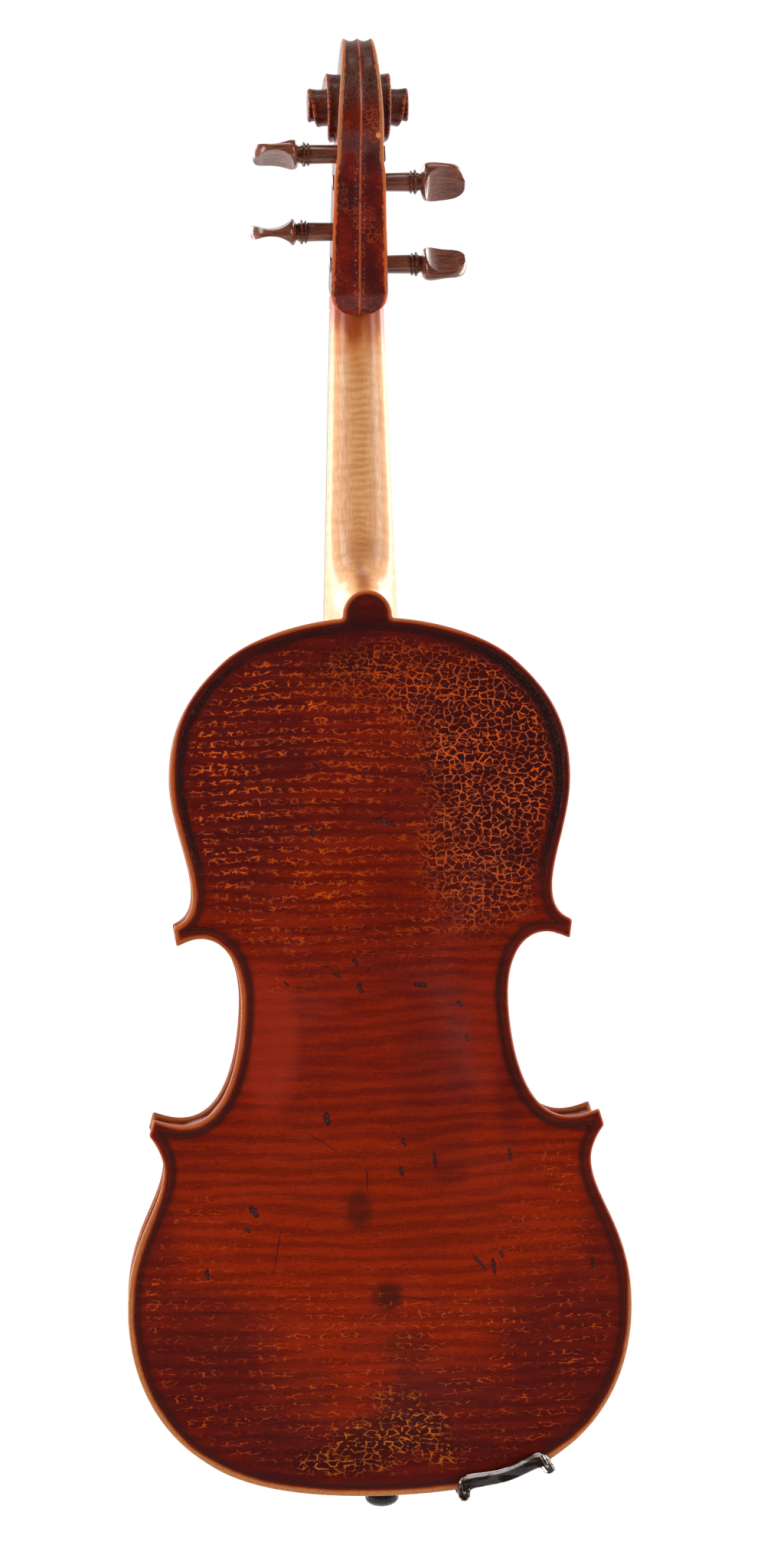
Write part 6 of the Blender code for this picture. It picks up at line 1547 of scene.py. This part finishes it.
def band_half(away, length, width):
    """Half the band's width: round at both ends and a waist between."""
    radius = width / 2
    reach = np.minimum(away, length - away)
    lobe = np.sqrt(np.clip(radius ** 2 - (radius - np.minimum(reach, radius)) ** 2, 0, None))
    waist = mix(radius, radius * BAND_WAIST, smooth((reach - radius) / width))
    return np.where(reach < radius, np.maximum(lobe, 0.02), waist)


def band_mesh(name, inset, width, low, high, margin=BAND_MARGIN, eased=0.4):
    """A plate that follows the edge, with eased edges."""
    path, inward = edge_path(inset + width / 2, LEG_X[0] - margin, LEG_X[1] + margin)
    total = lengths(path)
    ends = width / 2 * (1 - np.cos(np.linspace(0, math.pi / 2, 12)))
    marks = np.concatenate([ends, np.linspace(width / 2, total[-1] - width / 2, 60)[1:-1], total[-1] - ends[::-1]])
    middle = np.column_stack([np.interp(marks, total, path[:, k]) for k in (0, 1)])
    inward = np.column_stack([np.interp(marks, total, inward[:, k]) for k in (0, 1)])
    half = band_half(marks, total[-1], width)
    section = [(0.86, high)]
    section += [(1 - (eased * (1 - math.sin(a))) / (width / 2), high - eased * (1 - math.cos(a)))
                for a in np.linspace(0, math.pi / 2, 5)]
    section += [(1 - (eased * (1 - math.cos(a))) / (width / 2), low + eased * (1 - math.sin(a)))
                for a in np.linspace(0, math.pi / 2, 5)]
    section += [(0.86, low)]
    section += [(-u, y) for u, y in reversed(section)]
    points = []
    for spot, across, reach in zip(middle, inward, half):
        points += [(spot[0] + across[0] * reach * u, y, spot[1] + across[1] * reach * u) for u, y in section]
    return new_mesh(name, points, loft_faces(len(marks), len(section)), 40)


# The clamp foot seen from behind, from the tip of a lug to the middle: along and inward of its two sides
FOOT_INNER = ((1.6, -4.5), (0.8, -4.2), (0.1, -2.6), (0.1, 0.0), (0.5, 3.0), (2.0, 5.6), (4.6, 7.0), (9.0, 7.3),
              (15.0, 6.7), (0.0, 6.2))
FOOT_OUTER = ((2.6, -4.75), (3.8, -4.6), (5.3, -3.2), (5.7, -1.2), (6.3, -0.2), (7.3, 0.1), (8.6, 0.25),
              (11.5, 0.2), (16.0, 0.0), (0.0, -0.3))
FOOT_SECTION = ((0.80, 0.0), (0.94, 0.12), (1.0, 0.5), (1.0, 1.9), (0.985, 2.3), (0.94, 2.62), (0.86, 2.75),
                (0.76, 2.62), (0.68, 2.38), (0.58, 2.2), (0.3, 2.08), (0.0, 2.04))
LUG_HALF = 3.1
FOOT_STEPS = 6
PAD_FROM = 4


def foot_side(keys, run):
    """One side of the foot from lug to lug, mirrored about its middle."""
    half = [*keys[:-1], (run / 2, keys[-1][1])]
    return through(half + [(run - a, b) for a, b in reversed(half[:-1])], FOOT_STEPS)


def foot_strip(name, section, low, away, wide=1.0, skip=0):
    """The foot's strip lofted from a section of (share of half width, rise along y)."""
    path, inward = edge_path(0, LEG_X[0] - 12, LEG_X[1] + 12, 0.25)
    total = lengths(path)
    marks = [total[np.abs(path[:, 0] - x).argmin()] for x in LEG_X]
    start = marks[0] - LUG_HALF
    run = marks[1] + LUG_HALF - start
    ring = [*section, *[(-u, rise) for u, rise in reversed(section) if u]]
    rows = []
    kept = slice(skip * FOOT_STEPS, -skip * FOOT_STEPS or None)
    for inner, outer in zip(foot_side(FOOT_INNER, run)[kept], foot_side(FOOT_OUTER, run)[kept]):
        middle, half = (inner + outer) / 2, (inner - outer) / 2 * wide
        for u, rise in ring:
            along, across = middle + half * u
            spot = [np.interp(start + along, total, path[:, k]) for k in (0, 1)]
            into = [np.interp(start + along, total, inward[:, k]) for k in (0, 1)]
            rows.append((spot[0] + into[0] * across, low + away * rise, spot[1] + into[1] * across))
    return new_mesh(name, rows, loft_faces(len(rows) // len(ring), len(ring)), 40)


def leg_mesh(x, level, tip):
    """A rod that leaves the band, turns beside the edge and ends in its barrel."""
    path, inward = edge_path(0, x - 3, x + 3)
    middle = len(path) // 2
    across = inward[middle]
    axis = path[middle] - across * CLAMP_REACH
    turn = math.copysign(ROD_BEND, tip - level)
    route = [(CLAMP_REACH + BAND_INSET + BAND_WIDTH / 3, level), (ROD_BEND * 1.4, level)]
    route += [(ROD_BEND * (1 - math.sin(a)), level + turn * (1 - math.cos(a)))
              for a in np.linspace(0, math.pi / 2, 12)]
    route += [(0, mix(level + turn, tip, share)) for share in (0.3, 0.7, 1.0)]
    return tube_mesh("leg", [(axis[0] + across[0] * r, y, axis[1] + across[1] * r) for r, y in route],
                     ROD_DIAMETER / 2, 20), axis


def edge_low(x):
    """The lower edge's height under each x of the bass side."""
    path = cubics(LOWER_BOUT[:2], 60)
    return np.interp(x, path[:, 0], path[:, 1])


def make_clamp(looks):
    steel, pad = looks["clamp_chrome"], looks["cork"]
    low, high = BARREL_MIDDLE - BARREL_LENGTH / 2, BARREL_MIDDLE + BARREL_LENGTH / 2
    data = band_mesh("cork_pad", 1.6, BAND_WIDTH, CORK_LOW, CORK_LOW + CORK_THICK, BAND_MARGIN - 1, 0.2)
    new_piece("cork_pad", outward(data), pad, "chin_rest_cork", BODY_OF["chin_rest_cork"])
    section = ((0.96, 0.0), (1.0, 0.1), (1.0, LINER_THICK - 0.1), (0.96, LINER_THICK))
    data = foot_strip("foot_pad", section, LINER_LOW, 1, 0.84, PAD_FROM)
    new_piece("foot_pad", outward(data), pad, "clamp_foot_liner", BODY_OF["clamp_foot_liner"])
    clamps = (("clamp_bracket", BAND_INSET, BAND_LOW, high - ROD_GRIP),
              ("clamp_foot", 0.4, FOOT_HIGH - BAND_THICK, low + ROD_GRIP))
    for node, inset, bottom, tip in clamps:
        if node == "clamp_foot":
            parts = [foot_strip(node, FOOT_SECTION, bottom + BAND_THICK, -1)]
        else:
            parts = [band_mesh(node, inset, BAND_WIDTH, bottom, bottom + BAND_THICK, eased=0.9)]
        for x in LEG_X:
            leg, axis = leg_mesh(x, bottom + BAND_THICK / 2, tip)
            parts.append(leg)
        data = joined_mesh(node, parts)
        finish_shading(data, 42)
        new_piece(f"{node}_forged", data, steel, node, BODY_OF[node])
    for number, x in enumerate(LEG_X, 1):
        make_barrel(number, leg_mesh(x, 0, 10)[1], steel)


def make_barrel(number, axis, look):
    """A turnbuckle tube with its key holes."""
    node = f"clamp_barrel_{number}"
    centre = (axis[0], BARREL_MIDDLE, axis[1])
    half, outer, bore = BARREL_LENGTH / 2, BARREL_DIAMETER / 2, BARREL_BORE / 2
    profile = [(-half, bore), (-half, outer - 0.6), (-half + 0.18, outer - 0.18), (-half + 0.6, outer),
               (half - 0.6, outer), (half - 0.18, outer - 0.18), (half, outer - 0.6), (half, bore)]
    data = turned_mesh(node, profile, centre, (0, 1, 0), 48, 30, True)
    hole = [(-BARREL_DIAMETER, KEY_HOLE_DIAMETER / 2), (BARREL_DIAMETER, KEY_HOLE_DIAMETER / 2)]
    angles = (0.3, math.pi / 2 + 0.3)
    drills = [turned_mesh("drill", hole, centre, (math.cos(a), 0, math.sin(a)), 16) for a in angles]
    data = carved(outward(data, 30), drills, 30)
    new_piece(f"{node}_drilled", data, look, node, BODY_OF[node])


CHIN_PROFILE = ((0.02, -CHIN_DISH - 3.3), (0.3, -CHIN_DISH - 2.9), (0.6, -CHIN_DISH - 1.6), (0.86, -4.5),
                (0.95, -3.3), (0.985, -2.2), (1.0, -1.2), (0.985, -0.35), (0.955, -0.05), (0.92, -0.15),
                (0.86, -1.0), (0.7, -CHIN_DISH * 0.52), (0.45, -CHIN_DISH * 0.85), (0.2, -CHIN_DISH * 0.97),
                (0.02, -CHIN_DISH))


def make_chin_rest(look):
    """A dished oval cup with a rolled rim, on a foot over the clamp's bracket."""
    rows = through(CHIN_PROFILE, 5)
    turn = np.linspace(0, 2 * math.pi, 96, endpoint=False)
    a = CHIN_LENGTH / 2 * np.cos(turn)
    b = CHIN_BREADTH / 2 * np.sin(turn)
    points = []
    for share, height in rows:
        x = CHIN_X + share * (a * math.cos(CHIN_TURN) - b * math.sin(CHIN_TURN))
        z = CHIN_Z + share * (a * math.sin(CHIN_TURN) + b * math.cos(CHIN_TURN))
        y = GLUE_TOP + EDGE_THICK + CHIN_RISE + height + 2.2 * np.sin(turn) * share
        z = np.maximum(z, edge_low(x) + 1.2 + 1.5 * (1 - share))
        points.append(np.column_stack([x, y, z]))
    cup = new_mesh("cup", np.vstack(points), loft_faces(len(rows), len(turn)), 50)
    foot_low = BAND_LOW + BAND_THICK + SEAM
    foot_high = GLUE_TOP + EDGE_THICK + CHIN_RISE - CHIN_DISH + 0.5
    foot = band_mesh("foot", BAND_INSET, BAND_WIDTH + 1.5, foot_low, foot_high, BAND_MARGIN - 1.5, 0.8)
    data = joined_mesh("chin_rest", [cup, foot])
    finish_shading(data, 50)
    new_piece("chin_rest_carved", data, look, "chin_rest")


# Camera, stage and light

EYE = (-0.107, -1.75, -0.2996)
AIM = (0.0075, -0.003, -0.2996)
LENS = 86.2
ROLL = math.radians(1.12)


def make_camera():
    """The photograph's view: a little from the treble side, rolled so that the head leans left."""
    data = bpy.data.cameras.new("photo_camera")
    data.sensor_fit = "VERTICAL"
    data.sensor_height = 36.0
    data.lens = LENS
    camera = bpy.data.objects.new("photo_camera", data)
    bpy.context.scene.collection.objects.link(camera)
    forward = (Vector(AIM) - Vector(EYE)).normalized()
    right = forward.cross(Vector((0, 0, 1))).normalized()
    up = right.cross(forward)
    rolled_up = up * math.cos(ROLL) + right * math.sin(ROLL)
    rolled_right = right * math.cos(ROLL) - up * math.sin(ROLL)
    turned = Matrix((rolled_right, rolled_up, -forward)).transposed().to_4x4()
    camera.matrix_world = Matrix.Translation(EYE) @ turned
    bpy.context.scene.camera = camera


def area_light(name, place, aim, size, power):
    data = bpy.data.lights.new(name, "AREA")
    data.shape = "RECTANGLE"
    data.size, data.size_y = size
    data.energy = power
    lamp = bpy.data.objects.new(name, data)
    bpy.context.scene.collection.objects.link(lamp)
    lamp.location = place
    lamp.rotation_euler = (Vector(aim) - Vector(place)).to_track_quat("-Z", "Y").to_euler()


def stage_look(name, floor):
    """White in reflections. The camera sees through the backdrop, and sees the floor with its shadow."""
    made = bpy.data.materials.new(name)
    made.use_nodes = True
    tree = made.node_tree
    tree.nodes.clear()
    base = tree.nodes.new("ShaderNodeBsdfDiffuse")
    base.inputs["Color"].default_value = (0.8, 0.8, 0.8, 1)
    glow = tree.nodes.new("ShaderNodeEmission")
    glow.inputs["Strength"].default_value = FLOOR_STRENGTH if floor else 1.0
    clear = tree.nodes.new("ShaderNodeBsdfTransparent")
    rays = tree.nodes.new("ShaderNodeLightPath")
    mirrored_rays = tree.nodes.new("ShaderNodeMath")
    mirrored_rays.operation = "MAXIMUM"
    tree.links.new(rays.outputs["Is Glossy Ray"], mirrored_rays.inputs[0])
    tree.links.new(rays.outputs["Is Transmission Ray"], mirrored_rays.inputs[1])
    seen = tree.nodes.new("ShaderNodeMapRange")
    seen.inputs["To Max"].default_value = FLOOR_GLOW if floor else 1.0
    tree.links.new(rays.outputs["Is Camera Ray"], seen.inputs["Value"])
    lit = tree.nodes.new("ShaderNodeMixShader")
    tree.links.new(mirrored_rays.outputs[0], lit.inputs[0])
    tree.links.new(base.outputs[0], lit.inputs[1])
    tree.links.new(glow.outputs[0], lit.inputs[2])
    both = tree.nodes.new("ShaderNodeMixShader")
    tree.links.new(seen.outputs[0], both.inputs[0])
    tree.links.new(lit.outputs[0], both.inputs[1])
    tree.links.new((glow if floor else clear).outputs[0], both.inputs[2])
    out = tree.nodes.new("ShaderNodeOutputMaterial")
    tree.links.new(both.outputs[0], out.inputs[0])
    return made


FLOOR_GLOW = 0.85
FLOOR_STRENGTH = 1.18


def make_stage():
    floor_z = -1.0
    front_y = -0.7
    back_y = 2.2
    wide = 6.0
    sheets = {
        "floor": [(-wide, front_y, floor_z), (wide, front_y, floor_z), (wide, back_y, floor_z), (-wide, back_y, floor_z)],
        "backdrop": [(-wide, back_y, floor_z), (wide, back_y, floor_z), (wide, back_y, 4), (-wide, back_y, 4)],
    }
    for name, points in sheets.items():
        data = bpy.data.meshes.new(name)
        data.from_pydata(points, [], [(0, 1, 2, 3)])
        thing = bpy.data.objects.new(name, data)
        bpy.context.scene.collection.objects.link(thing)
        data.materials.append(stage_look(name, name == "floor"))


WORLD_LIGHT = 0.14
LAMPS = {
    "key": ((-1.9, -0.95, 0.5), (0.9, 1.5), 36),
    "fill": ((1.95, -0.9, 0.3), (0.9, 1.5), 32),
    "high": ((0.0, -0.7, 2.0), (1.6, 0.6), 20),
    "rim_left": ((-1.2, 0.85, 0.0), (0.5, 1.8), 24),
    "rim_right": ((1.2, 0.85, 0.0), (0.5, 1.8), 24),
    "front_left": ((-1.1, 1.9, 0.6), (0.8, 0.8), 10),
    "front_right": ((1.1, 1.9, 0.6), (0.8, 0.8), 10),
}


def make_light():
    world = bpy.data.worlds.new("studio")
    bpy.context.scene.world = world
    world.use_nodes = True
    tree = world.node_tree
    rays = tree.nodes.new("ShaderNodeLightPath")
    strength = tree.nodes.new("ShaderNodeMapRange")
    tree.links.new(rays.outputs["Is Camera Ray"], strength.inputs["Value"])
    strength.inputs["To Min"].default_value = WORLD_LIGHT
    strength.inputs["To Max"].default_value = 1.0
    tree.nodes["Background"].inputs["Color"].default_value = (1, 1, 1, 1)
    tree.links.new(strength.outputs[0], tree.nodes["Background"].inputs["Strength"])
    for name, (place, size, power) in LAMPS.items():
        area_light(name, place, (0, 0, -0.3), size, power)
    bpy.context.scene.view_settings.view_transform = "Standard"


# Pieces whose sharp edges are eased, in millimetres
ROUNDED = {"nut": 0.35, "saddle": 0.6, "bridge": 0.25, "tailpiece": 0.5}


def main():
    make_camera()
    make_stage()
    make_light()
    looks = make_looks()
    looks["back"] = back_varnish()
    looks["head"] = head_varnish()
    make_back(looks)
    make_top(looks)
    make_neck_shaft(looks["neck_maple"])
    make_head(looks["head"])
    make_board(looks["ebony"])
    for name in STRINGS:
        make_peg(name, looks["rosewood"])
        make_winding(name, looks["string_steel"])
    make_end_button(looks["ebony"])
    make_chin_rest(looks["ebony"])
    make_clamp(looks)
    done = {"back_plate", "top_plate", "neck", "fingerboard", "end_button", "chin_rest", "chin_rest_cork"}
    for part in frame["record"]["subparts"]:
        node = part["node"]
        if node not in done and not node.startswith(("peg_", "winding_", "clamp_")):
            smoothed(node, looks[part["material_slot"]], rounded=ROUNDED.get(node, 0.0))


main()
